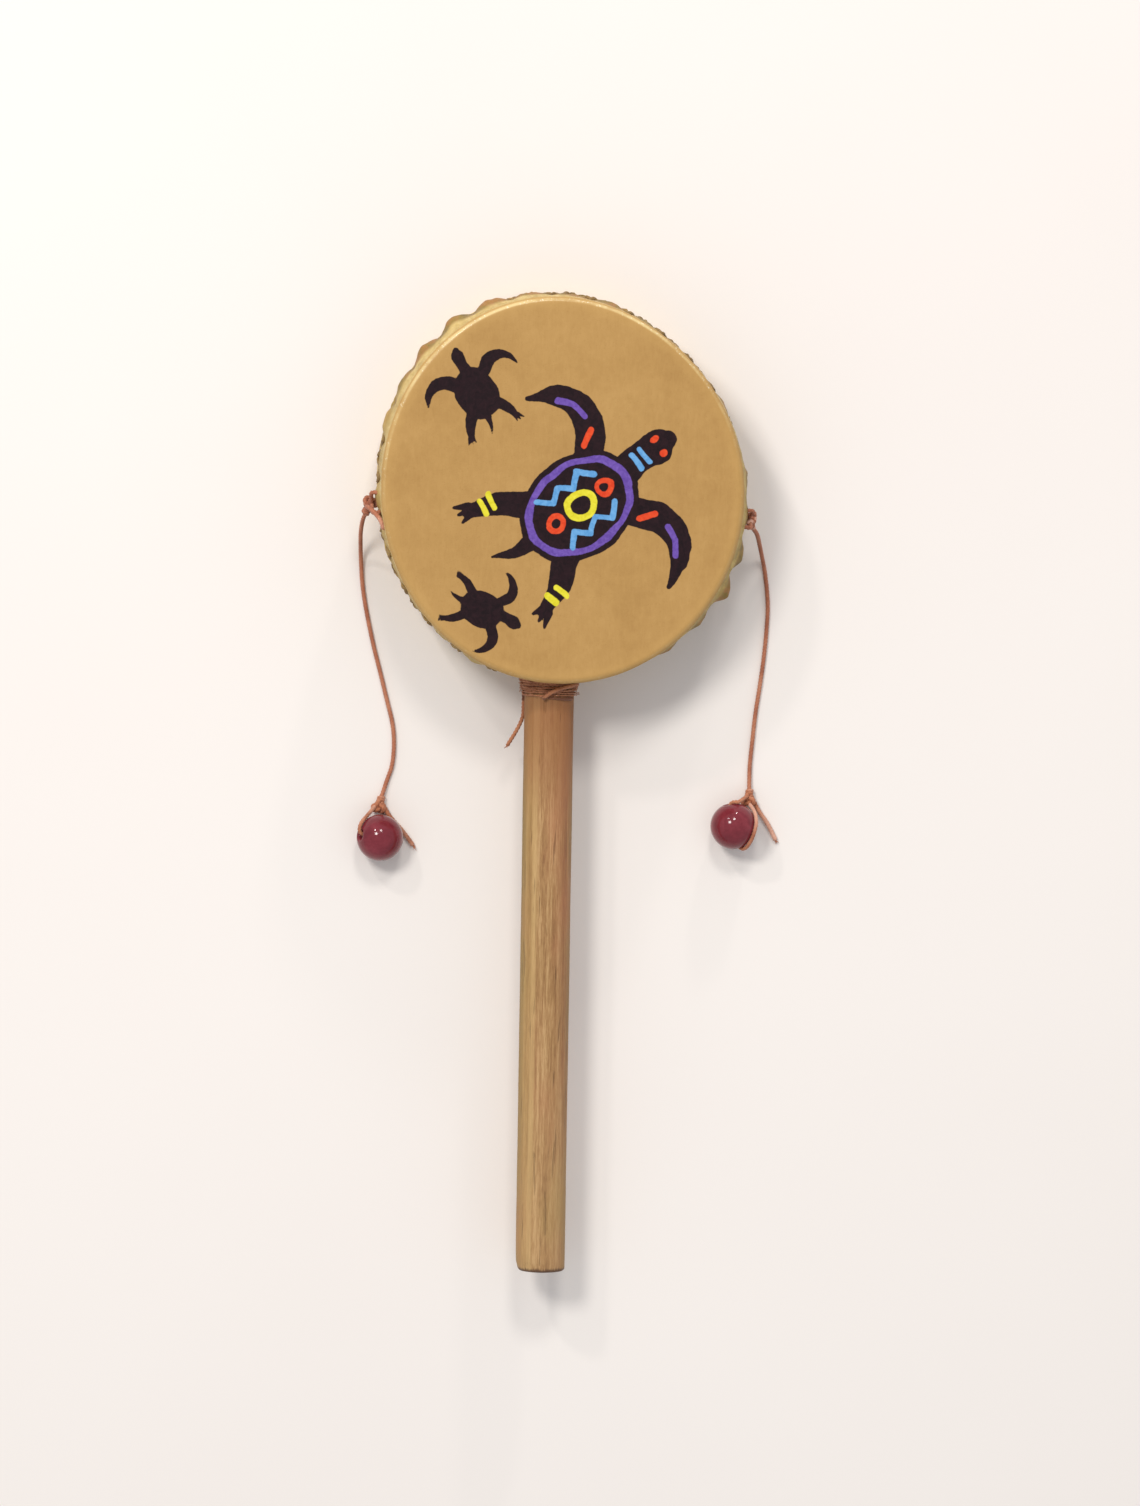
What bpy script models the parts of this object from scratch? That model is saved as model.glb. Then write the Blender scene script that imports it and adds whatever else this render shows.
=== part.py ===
"""A pellet drum: a small two-headed rattle drum on a dowel handle, lying on its back head.

The origin is the centre of the back head's flat face, on the surface that the drum lies on.
+Z points out of the painted front head, -Y runs along the handle to its foot.
"""

import math
import random

import bmesh
import bpy
from mathutils import Vector

MM = 0.001

# Outline of the drum seen from the front: an oval, pressed in a little at the upper right.
HEAD_HALF_WIDTH = 46.6 * MM
HEAD_HALF_HEIGHT = 50.0 * MM
DENT_DEPTH = 2.4 * MM
DENT_ANGLE = math.radians(56)
DENT_SPREAD = math.radians(40)
DRUM_DEPTH = 30.0 * MM

# Hides and hoop.
HIDE_THICKNESS = 1.0 * MM
FOLD_RADIUS = 1.6 * MM
SKIRT_STRAIGHT = 5.0 * MM
SKIRT_DEPTH = 11.8 * MM
HOOP_WALL = 4.0 * MM
CLEARANCE = 0.3 * MM

# Ruffles of the hides' edges, one for each stitch of the lacing.
RUFFLES = 30
RUFFLE_FLARE = 1.5 * MM
RUFFLE_FLARE_SPREAD = 0.35
RUFFLE_RISE = 1.1 * MM
FIRST_STITCH = math.radians(-86)
RUFFLE_SEED = 7

# Where the ruffles stand out further: the middle of the stretch, its spread and the further flare.
BIG_RUFFLES = (
    (math.radians(125), math.radians(22), 1.1 * MM),
    (math.radians(-27), math.radians(10), 1.5 * MM),
)

# Lacing thong.
LACING_RADIUS = 0.6 * MM
LACING_TURN = 1.0 * MM

# Handle, which stands a little left of the middle.
HANDLE_RADIUS = 6.35 * MM
HANDLE_OFFSET = -2.0 * MM
HANDLE_FOOT = -202.8 * MM
HANDLE_CHAMFER = 0.8 * MM

# Thread binding where the handle enters the hoop.
BINDING_TURNS = 5
BINDING_LENGTH = 6.2 * MM
BINDING_TOP_THICKNESS = 1.3 * MM
BINDING_FOOT_THICKNESS = 0.75 * MM
BINDING_GROOVE = 0.25 * MM
BINDING_STRAND_RADIUS = 0.6 * MM

# Pellet cords, beads and knots.
CORD_RADIUS = 0.6 * MM
BEAD_RADIUS = 6.0 * MM
BEAD_BORE_RADIUS = 1.1 * MM
BEAD_MOUTH_RADIUS = 1.7 * MM
SIDE_KNOT_STANDOFF = 2.4 * MM
SIDE_KNOT_RISE = 1.2 * MM
SIDE_KNOT_ANGLES = {"left": math.radians(186), "right": math.radians(-9)}
SIDE_KNOT_SIZE = Vector((2.2, 2.4, 1.6)) * MM
BEAD_KNOT_SIZE = Vector((1.7, 1.9, 1.6)) * MM
BEAD_KNOT_HEIGHT = 2.1 * MM
BEAD_KNOT_TO_BEAD = 8.6 * MM

# Smoothness of the facets.
OUTLINE_SEGMENTS = 4 * RUFFLES
HOOP_SEGMENTS = 72
ROUND_SEGMENTS = 24
BEAD_SEGMENTS = 16
BEAD_ARC_STEPS = 9
CORD_POINT_SPACING = 3.0 * MM
LOOP_POINT_SPACING = 1.6 * MM

# Routes of the cords in millimetres, from the side knot to the knot above the bead.
CORD_ROUTES = {
    "left": (
        (-49.8, -7.4, 15.1),
        (-50.55, -9.9, 12.8),
        (-50.8, -13.2, 8.6),
        (-50.6, -17.3, 4.0),
        (-50.3, -21.4, 1.3),
        (-49.8, -27.2, 0.7),
        (-48.7, -33.9, 0.7),
        (-46.8, -42.5, 0.7),
        (-44.9, -49.7, 0.7),
        (-43.0, -57.1, 0.7),
        (-41.6, -62.7, 0.7),
        (-41.1, -67.9, 0.7),
        (-41.5, -73.5, 0.7),
        (-42.9, -77.9, 0.8),
        (-44.3, -82.3, 1.4),
    ),
    "right": (
        (49.2, -9.8, 15.2),
        (51.0, -12.0, 11.8),
        (52.1, -14.8, 7.0),
        (53.1, -18.2, 3.2),
        (54.1, -22.2, 1.0),
        (54.8, -27.0, 0.7),
        (55.1, -31.6, 0.7),
        (54.9, -37.3, 0.7),
        (54.3, -44.7, 0.7),
        (53.4, -52.0, 0.7),
        (52.4, -59.2, 0.7),
        (51.7, -66.5, 0.7),
        (51.2, -72.2, 0.7),
        (51.1, -76.8, 0.9),
        (51.1, -79.5, 1.5),
    ),
}
BEAD_PLACES = {"left": Vector((-44.6, -92.0)) * MM, "right": Vector((46.8, -88.0)) * MM}

# Direction of each bead's bore seen from above, as an angle from +X, and its tilt off the floor.
BORE_ANGLES = {"left": math.radians(4), "right": math.radians(104)}
BORE_TILTS = {"left": math.radians(-30), "right": 0.0}

# How far each bead's loop is turned up about the bore, and the direction from the bead to its knot.
LOOP_TURNS = {"left": math.radians(22), "right": math.radians(36)}
KNOT_ANGLES = {"left": math.radians(92), "right": math.radians(58)}

# Cut ends of the cords, in millimetres from the middles of their knots.
SIDE_TAILS = {
    "left": ((-0.55, -0.9, 3.2), (0.55, -2.5, 6.4), (1.95, -4.8, 8.7), (2.55, -7.4, 9.5)),
    "right": ((0.3, -1.6, 1.8), (0.3, -3.0, 2.6)),
}
BEAD_TAILS = {
    "left": ((3.5, -2.4, -0.9), (6.3, -5.4, -1.2), (8.9, -9.4, -1.3)),
    "right": ((2.7, -2.8, -0.9), (5.1, -6.2, -1.2), (7.3, -10.4, -1.3)),
}

# Loose strands of the neck binding, in millimetres from the handle's axis at the binding's top.
BINDING_TAIL = (
    (-6.3, -4.4, -3.8),
    (-6.9, -8.0, -3.8),
    (-7.9, -11.4, -3.5),
    (-9.1, -14.8, -3.1),
    (-10.4, -18.4, -2.8),
)
BINDING_CROSSING = (
    (-3.1, -5.3, 7.0),
    (-1.3, -4.5, 7.9),
    (1.4, -3.3, 8.4),
    (4.5, -2.3, 7.5),
    (6.6, -1.7, 5.6),
)


def clear_scene():
    for obj in list(bpy.data.objects):
        bpy.data.objects.remove(obj, do_unlink=True)


def make_material(name, colour, roughness, metallic=0.0):
    material = bpy.data.materials.new(name)
    material.use_nodes = True
    shader = material.node_tree.nodes["Principled BSDF"]
    shader.inputs["Base Color"].default_value = (*colour, 1.0)
    shader.inputs["Roughness"].default_value = roughness
    shader.inputs["Metallic"].default_value = metallic
    return material


def rawhide_painted():
    return make_material("rawhide_painted", (0.56, 0.35, 0.12), 0.45)


def rawhide_plain():
    return make_material("rawhide_plain", (0.60, 0.42, 0.18), 0.5)


def thong():
    return make_material("thong", (0.28, 0.17, 0.06), 0.6)


def hoop_wood():
    return make_material("hoop_wood", (0.42, 0.27, 0.13), 0.6)


def handle_wood():
    return make_material("handle_wood", (0.48, 0.30, 0.14), 0.55)


def binding_thread():
    return make_material("binding_thread", (0.25, 0.10, 0.06), 0.6)


def cord_thread():
    return make_material("cord_thread", (0.40, 0.13, 0.07), 0.55)


def bead_gloss():
    return make_material("bead_gloss", (0.22, 0.03, 0.05), 0.12)


def bump(angle, centre, spread):
    """A smooth rise to 1 at the centre angle, down to nothing a few spreads away."""
    away = math.remainder(angle - centre, math.tau)
    return math.exp(-((away / spread) ** 2))


def outline_radius(angle):
    """Distance from the drum's axis to the outer face of the hide."""
    wide = HEAD_HALF_HEIGHT * math.cos(angle)
    tall = HEAD_HALF_WIDTH * math.sin(angle)
    oval = HEAD_HALF_WIDTH * HEAD_HALF_HEIGHT / math.hypot(wide, tall)
    return oval - DENT_DEPTH * bump(angle, DENT_ANGLE, DENT_SPREAD)


def rim_point(angle, offset, height):
    """A point at this angle, this far outside the hide's outer face, at this height."""
    radius = outline_radius(angle) + offset
    return Vector((radius * math.cos(angle), radius * math.sin(angle), height))


def new_object(name, mesh_or_curve, material):
    obj = bpy.data.objects.new(name, mesh_or_curve)
    bpy.context.scene.collection.objects.link(obj)
    obj.data.materials.append(material)
    return obj


def mesh_object(name, form, material, sharp=math.radians(35)):
    """An object from a bmesh, shaded smooth except at its sharp edges."""
    bmesh.ops.recalc_face_normals(form, faces=form.faces)
    mesh = bpy.data.meshes.new(name)
    form.to_mesh(mesh)
    form.free()
    mesh.shade_smooth()
    mesh.set_sharp_from_angle(angle=sharp)
    return new_object(name, mesh, material)


def cutter_or_helper(obj):
    """Keeps an object that only shapes another one out of the model."""
    obj.hide_render = True
    obj.display_type = "WIRE"
    return obj


def boolean(obj, other, operation):
    modifier = obj.modifiers.new(f"{operation.lower()}_{other.name}", "BOOLEAN")
    modifier.operation = operation
    modifier.object = other
    modifier.solver = "EXACT"


def bridge_rings(form, rings, closed=False):
    """Skins a list of rings of vertices with quads; a closed list joins the last ring to the first."""
    count = len(rings[0])
    pairs = list(zip(rings, rings[1:]))
    if closed:
        pairs.append((rings[-1], rings[0]))
    for lower, upper in pairs:
        for i in range(count):
            j = (i + 1) % count
            form.faces.new((lower[i], lower[j], upper[j], upper[i]))


def cap_with_fan(form, ring, centre):
    middle = form.verts.new(centre)
    for i in range(len(ring)):
        form.faces.new((ring[i], ring[(i + 1) % len(ring)], middle))


def smooth_route(points, spacing):
    """Evenly spaced points along a smooth curve through the chosen points."""
    chosen = [Vector(p) for p in points]
    padded = [2 * chosen[0] - chosen[1], *chosen, 2 * chosen[-1] - chosen[-2]]
    steps = 16
    fine = []
    for a, b, c, d in zip(padded, padded[1:], padded[2:], padded[3:]):
        for step in range(steps):
            t = step / steps
            bend = (2 * a - 5 * b + 4 * c - d) * t * t + (3 * b - 3 * c + d - a) * t**3
            fine.append(b + 0.5 * ((c - a) * t + bend))
    fine.append(chosen[-1])
    lengths = [0.0]
    for before, after in zip(fine, fine[1:]):
        lengths.append(lengths[-1] + (after - before).length)
    count = max(2, round(lengths[-1] / spacing))
    route = []
    place = 0
    for i in range(count + 1):
        wanted = lengths[-1] * i / count
        while place < len(fine) - 2 and lengths[place + 1] < wanted:
            place += 1
        share = (wanted - lengths[place]) / (lengths[place + 1] - lengths[place])
        route.append(fine[place].lerp(fine[place + 1], share))
    return route


def in_metres(points, start=Vector((0, 0, 0))):
    """Points given in millimetres from a start."""
    return [start + Vector(p) * MM for p in points]


def tube_mesh(points, radius, sides):
    """A closed round tube along the points, as a bmesh."""
    form = bmesh.new()
    rings = []
    across = None
    for i, point in enumerate(points):
        before = points[max(i - 1, 0)]
        after = points[min(i + 1, len(points) - 1)]
        along = (after - before).normalized()
        if across is None:
            across = along.orthogonal().normalized()
        across = (across - along * across.dot(along)).normalized()
        up = along.cross(across)
        ring = []
        for k in range(sides):
            turn = math.tau * k / sides
            ring.append(form.verts.new(point + radius * (math.cos(turn) * across + math.sin(turn) * up)))
        rings.append(ring)
    bridge_rings(form, rings)
    form.faces.new(rings[0])
    form.faces.new(rings[-1])
    return form


def knot_ball(centre, size, heading, rings, segments):
    """A lumpy knot: an oval ball whose surface swells along the strands that cross round it."""
    form = bmesh.new()
    turn = Vector((1, 0, 0)).rotation_difference(heading)
    levels = []
    for i in range(1, rings):
        polar = math.pi * i / rings
        level = []
        for k in range(segments):
            around = math.tau * k / segments
            swell = 1 + 0.09 * math.sin(2 * around + 3 * polar) * math.sin(polar)
            wide = swell * math.sin(polar)
            local = Vector((swell * math.cos(polar), wide * math.cos(around), wide * math.sin(around)))
            level.append(form.verts.new(centre + turn @ (local * size)))
        levels.append(level)
    bridge_rings(form, levels)
    cap_with_fan(form, levels[0], centre + turn @ Vector((size.x, 0, 0)))
    cap_with_fan(form, levels[-1], centre - turn @ Vector((size.x, 0, 0)))
    return form


def ruffle(angle, first_stitch, flares):
    """How far the hide's edge stands out at this angle, and how far it rises, as a share of 1."""
    period = math.tau / RUFFLES
    along = ((angle - first_stitch) % math.tau) / period
    rise = 0.5 - 0.5 * math.cos(math.tau * along)
    flare = flares[int(along + 1e-6) % RUFFLES]
    for centre, spread, further in BIG_RUFFLES:
        flare += further * bump(angle, centre, spread)
    return rise * flare, rise


def head(name, face_height, inward, first_stitch, seed, material):
    """A hide folded over one edge of the hoop. Inward is -1 where the skirt runs down, and 1 where up."""
    spread = random.Random(seed)
    flares = []
    for _ in range(RUFFLES):
        flares.append(RUFFLE_FLARE * (1 + RUFFLE_FLARE_SPREAD * spread.uniform(-1, 1)))
    fold = FOLD_RADIUS * (1 - math.sqrt(0.5))
    half_way = (SKIRT_STRAIGHT + SKIRT_DEPTH) / 2
    # Offset from the outline, depth below the face, and share of the ruffle.
    profile = (
        (-FOLD_RADIUS, 0, 0),
        (-fold, fold, 0),
        (0, FOLD_RADIUS, 0),
        (0, SKIRT_STRAIGHT, 0),
        (0, half_way, 0.35),
        (0, SKIRT_DEPTH, 1),
        (-HIDE_THICKNESS, SKIRT_DEPTH, 1),
        (-HIDE_THICKNESS, SKIRT_STRAIGHT, 0),
        (-HIDE_THICKNESS, HIDE_THICKNESS, 0),
    )
    form = bmesh.new()
    rings = []
    for offset, depth, share in profile:
        ring = []
        for i in range(OUTLINE_SEGMENTS):
            angle = first_stitch + math.tau * i / OUTLINE_SEGMENTS
            flare, rise = ruffle(angle, first_stitch, flares)
            height = face_height + inward * (depth - share * share * rise * RUFFLE_RISE)
            ring.append(form.verts.new(rim_point(angle, offset + share * flare, height)))
        rings.append(ring)
    bridge_rings(form, rings)
    cap_with_fan(form, rings[0], (0, 0, face_height))
    cap_with_fan(form, rings[-1], (0, 0, face_height + inward * HIDE_THICKNESS))
    return mesh_object(name, form, material)


def rings_about_handle(form, sections):
    """Rings of vertices about the handle's axis, one for each radius and place along Y."""
    rings = []
    for radius, y in sections:
        ring = []
        for k in range(ROUND_SEGMENTS):
            turn = math.tau * k / ROUND_SEGMENTS
            x = HANDLE_OFFSET + radius * math.cos(turn)
            z = DRUM_DEPTH / 2 + radius * math.sin(turn)
            ring.append(form.verts.new((x, y, z)))
        rings.append(ring)
    return rings


def turned_rod(name, sections, material):
    """A solid turned about the handle's axis, with flat ends."""
    form = bmesh.new()
    rings = rings_about_handle(form, sections)
    bridge_rings(form, rings)
    form.faces.new(rings[0])
    form.faces.new(rings[-1])
    return mesh_object(name, form, material)


def hoop(material):
    """The bent wooden hoop, bored at the bottom for the handle."""
    outer = -(HIDE_THICKNESS + CLEARANCE)
    inner = outer - HOOP_WALL
    low = HIDE_THICKNESS + CLEARANCE
    high = DRUM_DEPTH - low
    form = bmesh.new()
    rings = []
    for offset, height in ((outer, low), (outer, high), (inner, high), (inner, low)):
        ring = []
        for i in range(HOOP_SEGMENTS):
            ring.append(form.verts.new(rim_point(math.tau * i / HOOP_SEGMENTS, offset, height)))
        rings.append(ring)
    bridge_rings(form, rings, closed=True)
    shell = mesh_object("hoop", form, material)
    radius = HANDLE_RADIUS + CLEARANCE
    inside = -HEAD_HALF_HEIGHT + 2 * HOOP_WALL + 2 * HIDE_THICKNESS
    outside = -HEAD_HALF_HEIGHT - HOOP_WALL
    bore = turned_rod("handle_bore", ((radius, inside), (radius, outside)), material)
    boolean(shell, cutter_or_helper(bore), "DIFFERENCE")
    return shell


def heads():
    front = head("front_head", DRUM_DEPTH, -1, FIRST_STITCH, RUFFLE_SEED, rawhide_painted())
    half_period = math.pi / RUFFLES
    back = head("back_head", 0, 1, FIRST_STITCH + half_period, RUFFLE_SEED + 1, rawhide_plain())
    radius = HANDLE_RADIUS + CLEARANCE + BINDING_TOP_THICKNESS + CLEARANCE
    inside = -HEAD_HALF_HEIGHT + 2 * HOOP_WALL
    outside = -HEAD_HALF_HEIGHT - 2 * HOOP_WALL
    notch = turned_rod("neck_notch", ((radius, inside), (radius, outside)), rawhide_plain())
    cutter_or_helper(notch)
    boolean(front, notch, "DIFFERENCE")
    boolean(back, notch, "DIFFERENCE")


def rim_lacing(material):
    """One thong in a zigzag between the two hides' edges, left open where the handle enters."""
    half_period = math.pi / RUFFLES
    offset = -HIDE_THICKNESS + LACING_RADIUS
    reach = DRUM_DEPTH / 2 - SKIRT_DEPTH - CLEARANCE - LACING_RADIUS
    neck = HANDLE_RADIUS + 2 * CLEARANCE + BINDING_TOP_THICKNESS + 2 * LACING_RADIUS
    points = []
    for stitch in range(2 * RUFFLES):
        angle = FIRST_STITCH + stitch * half_period
        place = rim_point(angle, offset, 0)
        if place.y < 0 and abs(place.x - HANDLE_OFFSET) < neck:
            continue
        side = 1 if stitch % 2 == 0 else -1
        turn = LACING_TURN / 2 / outline_radius(angle)
        for lean in (-turn, turn):
            points.append(rim_point(angle + lean, offset, DRUM_DEPTH / 2 + side * reach))
    return mesh_object("rim_lacing", tube_mesh(points, LACING_RADIUS, 6), material)


def inner_top_of_hoop():
    """The highest Y that the handle's square end reaches inside the hoop."""
    inner = -(HIDE_THICKNESS + CLEARANCE + HOOP_WALL)
    reach = []
    for i in range(HOOP_SEGMENTS):
        corner = rim_point(math.tau * i / HOOP_SEGMENTS, inner, 0)
        if corner.y > 0 and abs(corner.x - HANDLE_OFFSET) < HANDLE_RADIUS + HOOP_WALL:
            reach.append(corner.y)
    return min(reach) - CLEARANCE


def handle(material):
    """The dowel, with a small chamfer round its foot."""
    sections = (
        (HANDLE_RADIUS - HANDLE_CHAMFER, HANDLE_FOOT),
        (HANDLE_RADIUS, HANDLE_FOOT + HANDLE_CHAMFER),
        (HANDLE_RADIUS, inner_top_of_hoop()),
    )
    return turned_rod("handle", sections, material)


def neck_binding(material):
    """Turns of thread round the handle, thinner at the foot, with a crossing strand and a loose end."""
    top = -HEAD_HALF_HEIGHT + HIDE_THICKNESS
    inner = HANDLE_RADIUS + CLEARANCE
    sections = [(inner, top), (inner + BINDING_TOP_THICKNESS - BINDING_GROOVE, top)]
    for turn in range(BINDING_TURNS):
        for part, groove in ((0.5, 0.0), (1.0, BINDING_GROOVE)):
            share = (turn + part) / BINDING_TURNS
            thickness = BINDING_TOP_THICKNESS + share * (BINDING_FOOT_THICKNESS - BINDING_TOP_THICKNESS)
            sections.append((inner + thickness - groove, top - share * BINDING_LENGTH))
    sections.append((inner, top - BINDING_LENGTH))
    form = bmesh.new()
    bridge_rings(form, rings_about_handle(form, sections), closed=True)
    binding = mesh_object("neck_binding", form, material)
    start = Vector((HANDLE_OFFSET, top, DRUM_DEPTH / 2))
    for name, points in (("binding_tail", BINDING_TAIL), ("binding_crossing", BINDING_CROSSING)):
        route = smooth_route(in_metres(points, start), CORD_POINT_SPACING)
        strand = mesh_object(name, tube_mesh(route, BINDING_STRAND_RADIUS, 6), material)
        boolean(binding, cutter_or_helper(strand), "UNION")
    return binding


def side_knot(side, material):
    """The knot that ties a pellet cord to the lacing at the drum's side, with its cut end."""
    angle = SIDE_KNOT_ANGLES[side]
    centre = rim_point(angle, SIDE_KNOT_STANDOFF, DRUM_DEPTH / 2 + SIDE_KNOT_RISE)
    outwards = Vector((math.cos(angle), math.sin(angle), 0))
    knot = mesh_object(f"side_knot_{side}", knot_ball(centre, SIDE_KNOT_SIZE, outwards, 8, 12), material)
    route = smooth_route([centre, *in_metres(SIDE_TAILS[side], centre)], CORD_POINT_SPACING)
    tail = mesh_object(f"side_tail_{side}", tube_mesh(route, CORD_RADIUS, 6), material)
    boolean(knot, cutter_or_helper(tail), "UNION")
    return knot


def cord(side, material):
    """The free length of one pellet cord, lying on the floor below the drum's side."""
    curve = bpy.data.curves.new(f"cord_{side}", "CURVE")
    curve.dimensions = "3D"
    curve.bevel_depth = CORD_RADIUS
    curve.bevel_resolution = 2
    curve.use_fill_caps = True
    route = smooth_route(in_metres(CORD_ROUTES[side]), CORD_POINT_SPACING)
    spline = curve.splines.new("POLY")
    spline.points.add(len(route) - 1)
    for point, place in zip(spline.points, route):
        point.co = (*place, 1.0)
    spline.use_smooth = True
    return new_object(f"cord_{side}", curve, material)


def bead_arc_start():
    return math.asin(BEAD_MOUTH_RADIUS / BEAD_RADIUS)


def bead_centre(side):
    """The middle of a bead that lies on the floor."""
    return Vector((*BEAD_PLACES[side], BEAD_RADIUS))


def bore_direction(side):
    """The direction of the bead's bore, of length 1."""
    angle, tilt = BORE_ANGLES[side], BORE_TILTS[side]
    level = Vector((math.cos(angle), math.sin(angle), 0))
    return level * math.cos(tilt) + Vector((0, 0, math.sin(tilt)))


def bead(side, material):
    """A round bead with a bore that opens into a small rounded mouth at each end."""
    along = bore_direction(side)
    across = along.cross(Vector((0, 0, 1))).normalized()
    upright = across.cross(along)
    start = bead_arc_start()
    sections = []
    for step in range(BEAD_ARC_STEPS + 1):
        polar = start + (math.pi - 2 * start) * step / BEAD_ARC_STEPS
        sections.append((BEAD_RADIUS * math.cos(polar), BEAD_RADIUS * math.sin(polar)))
    mouth = BEAD_RADIUS * math.cos(start) - (BEAD_MOUTH_RADIUS - BEAD_BORE_RADIUS)
    sections.append((-mouth, BEAD_BORE_RADIUS))
    sections.append((mouth, BEAD_BORE_RADIUS))
    form = bmesh.new()
    rings = []
    for reach, radius in sections:
        ring = []
        for k in range(BEAD_SEGMENTS):
            turn = math.tau * (k + 0.5) / BEAD_SEGMENTS
            away = math.cos(turn) * across + math.sin(turn) * upright
            ring.append(form.verts.new(bead_centre(side) + reach * along + radius * away))
        rings.append(ring)
    bridge_rings(form, rings, closed=True)
    return mesh_object(f"bead_{side}", form, material)


def bead_knot_centre(side):
    """The knot rests on the floor beside the bead, in the direction that its cord comes from."""
    drop = bead_centre(side).z - BEAD_KNOT_HEIGHT
    reach = math.sqrt(BEAD_KNOT_TO_BEAD**2 - drop**2)
    away = Vector((math.cos(KNOT_ANGLES[side]), math.sin(KNOT_ANGLES[side]), 0))
    return bead_centre(side) + reach * away - Vector((0, 0, drop))


def loop_route(side):
    """The strand from the knot through the bead's bore and round its outside back to the knot."""
    centre = bead_centre(side)
    along = bore_direction(side)
    to_knot = bead_knot_centre(side) - centre
    level = Vector((to_knot.x, to_knot.y, 0))
    across = (level - along * level.dot(along)).normalized()
    upright = along.cross(across) * math.copysign(1, along.cross(across).z)
    turned_up = LOOP_TURNS[side]
    aside = across * math.cos(turned_up) + upright * math.sin(turned_up)
    knot_angle = math.atan2(level.dot(across), level.dot(along))
    track = BEAD_RADIUS + CORD_RADIUS + CLEARANCE
    mouth = track + CORD_RADIUS
    turn_in = math.radians(18)
    ends = []
    for start, sweep in ((0.0, knot_angle), (math.pi, knot_angle - math.pi)):
        way = math.copysign(1, sweep)
        arc = []
        steps = max(1, round(abs(sweep) / math.radians(24)))
        for step in range(steps):
            share = step / steps
            angle = start + way * turn_in + (sweep - way * turn_in) * share
            arc.append(track * (math.cos(angle) * along + math.sin(angle) * aside))
        bend = mouth * 0.99 * math.cos(start) * along + 0.35 * CORD_RADIUS * aside
        halfway = (arc[-1].normalized() + to_knot.normalized()).normalized() * (track + to_knot.length) / 2
        ends.append([bend, *arc, halfway])
    inside = BEAD_RADIUS * 0.55
    through = [inside * along, -inside * along]
    apart = 1.2 * CORD_RADIUS * along
    local = [to_knot + apart, *reversed(ends[0]), *through, *ends[1], to_knot - apart]
    return smooth_route([centre + place for place in local], LOOP_POINT_SPACING)


def bead_knot(side, material):
    """The knot above the bead with its loop through the bore and its cut end."""
    centre = bead_knot_centre(side)
    heading = (bead_centre(side) - centre).normalized()
    knot = mesh_object(f"bead_knot_{side}", knot_ball(centre, BEAD_KNOT_SIZE, heading, 8, 12), material)
    loop = mesh_object(f"bead_loop_{side}", tube_mesh(loop_route(side), CORD_RADIUS, 6), material)
    boolean(knot, cutter_or_helper(loop), "UNION")
    route = smooth_route([centre, *in_metres(BEAD_TAILS[side], centre)], CORD_POINT_SPACING)
    tail = mesh_object(f"bead_tail_{side}", tube_mesh(route, CORD_RADIUS, 6), material)
    boolean(knot, cutter_or_helper(tail), "UNION")
    return knot


def main():
    clear_scene()
    hoop(hoop_wood())
    heads()
    rim_lacing(thong())
    handle(handle_wood())
    neck_binding(binding_thread())
    for side in ("left", "right"):
        side_knot(side, cord_thread())
        cord(side, cord_thread())
        bead(side, bead_gloss())
        bead_knot(side, cord_thread())


main()
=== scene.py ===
"""The looks of the pellet drum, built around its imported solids.

The drum lies on its back head. Lengths are in millimetres, and MM makes metres of them. The lamps' places
and sizes are in metres, and a noise's scale is in swells to the metre, unless it follows a UV map.
"""

import random
from functools import reduce
from math import acos, cos, hypot, pi, radians, sin, sqrt, tau

import bpy
import numpy as np
from mathutils import Matrix, Vector


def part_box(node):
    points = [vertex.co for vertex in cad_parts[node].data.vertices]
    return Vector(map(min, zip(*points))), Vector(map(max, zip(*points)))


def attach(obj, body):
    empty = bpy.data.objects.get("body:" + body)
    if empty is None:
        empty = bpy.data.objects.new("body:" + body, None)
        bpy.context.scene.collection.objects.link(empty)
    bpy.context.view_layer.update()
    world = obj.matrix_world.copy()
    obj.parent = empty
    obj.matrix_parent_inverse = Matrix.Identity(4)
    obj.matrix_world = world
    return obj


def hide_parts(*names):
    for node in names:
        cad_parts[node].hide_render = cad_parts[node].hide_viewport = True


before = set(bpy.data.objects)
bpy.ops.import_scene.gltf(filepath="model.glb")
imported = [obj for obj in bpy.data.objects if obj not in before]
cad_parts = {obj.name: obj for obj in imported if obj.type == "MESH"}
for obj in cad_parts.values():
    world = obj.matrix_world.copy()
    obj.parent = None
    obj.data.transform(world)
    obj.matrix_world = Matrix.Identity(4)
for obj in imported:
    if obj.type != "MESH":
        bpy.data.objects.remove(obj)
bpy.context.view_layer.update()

MM = 0.001
UP = Vector((0, 0, 1))

# The drum's outline, as its solids have it. The dent's angle and spread are in degrees.
HEAD_HALF_WIDTH, HEAD_HALF_HEIGHT = 46.6, 50.0
DENT_DEPTH, DENT_ANGLE, DENT_SPREAD = 2.4, 56, 40
DRUM_DEPTH = 30.0
MID_DEPTH = DRUM_DEPTH / 2
HIDE_THICKNESS, FOLD_RADIUS = 1.0, 1.6
SKIRT_STRAIGHT, SKIRT_DEPTH = 5.0, 11.8
HOOP_WALL, HOOP_CLEARANCE, HOOP_EDGE = 4.0, 0.3, 0.7
# The circles on which the unevenness of the hides and the hoop, and of the handle, is drawn.
RIM_PATTERN, HANDLE_PATTERN = 50, 6
NECK_RADIUS = 8.25

RUFFLES = 30
HALF_STITCH = pi / RUFFLES
FIRST_STITCH = radians(-86)
RUFFLE_FLARE, LEAST_FLARE, RUFFLE_RISE = 1.5, 0.2, 1.1
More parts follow.
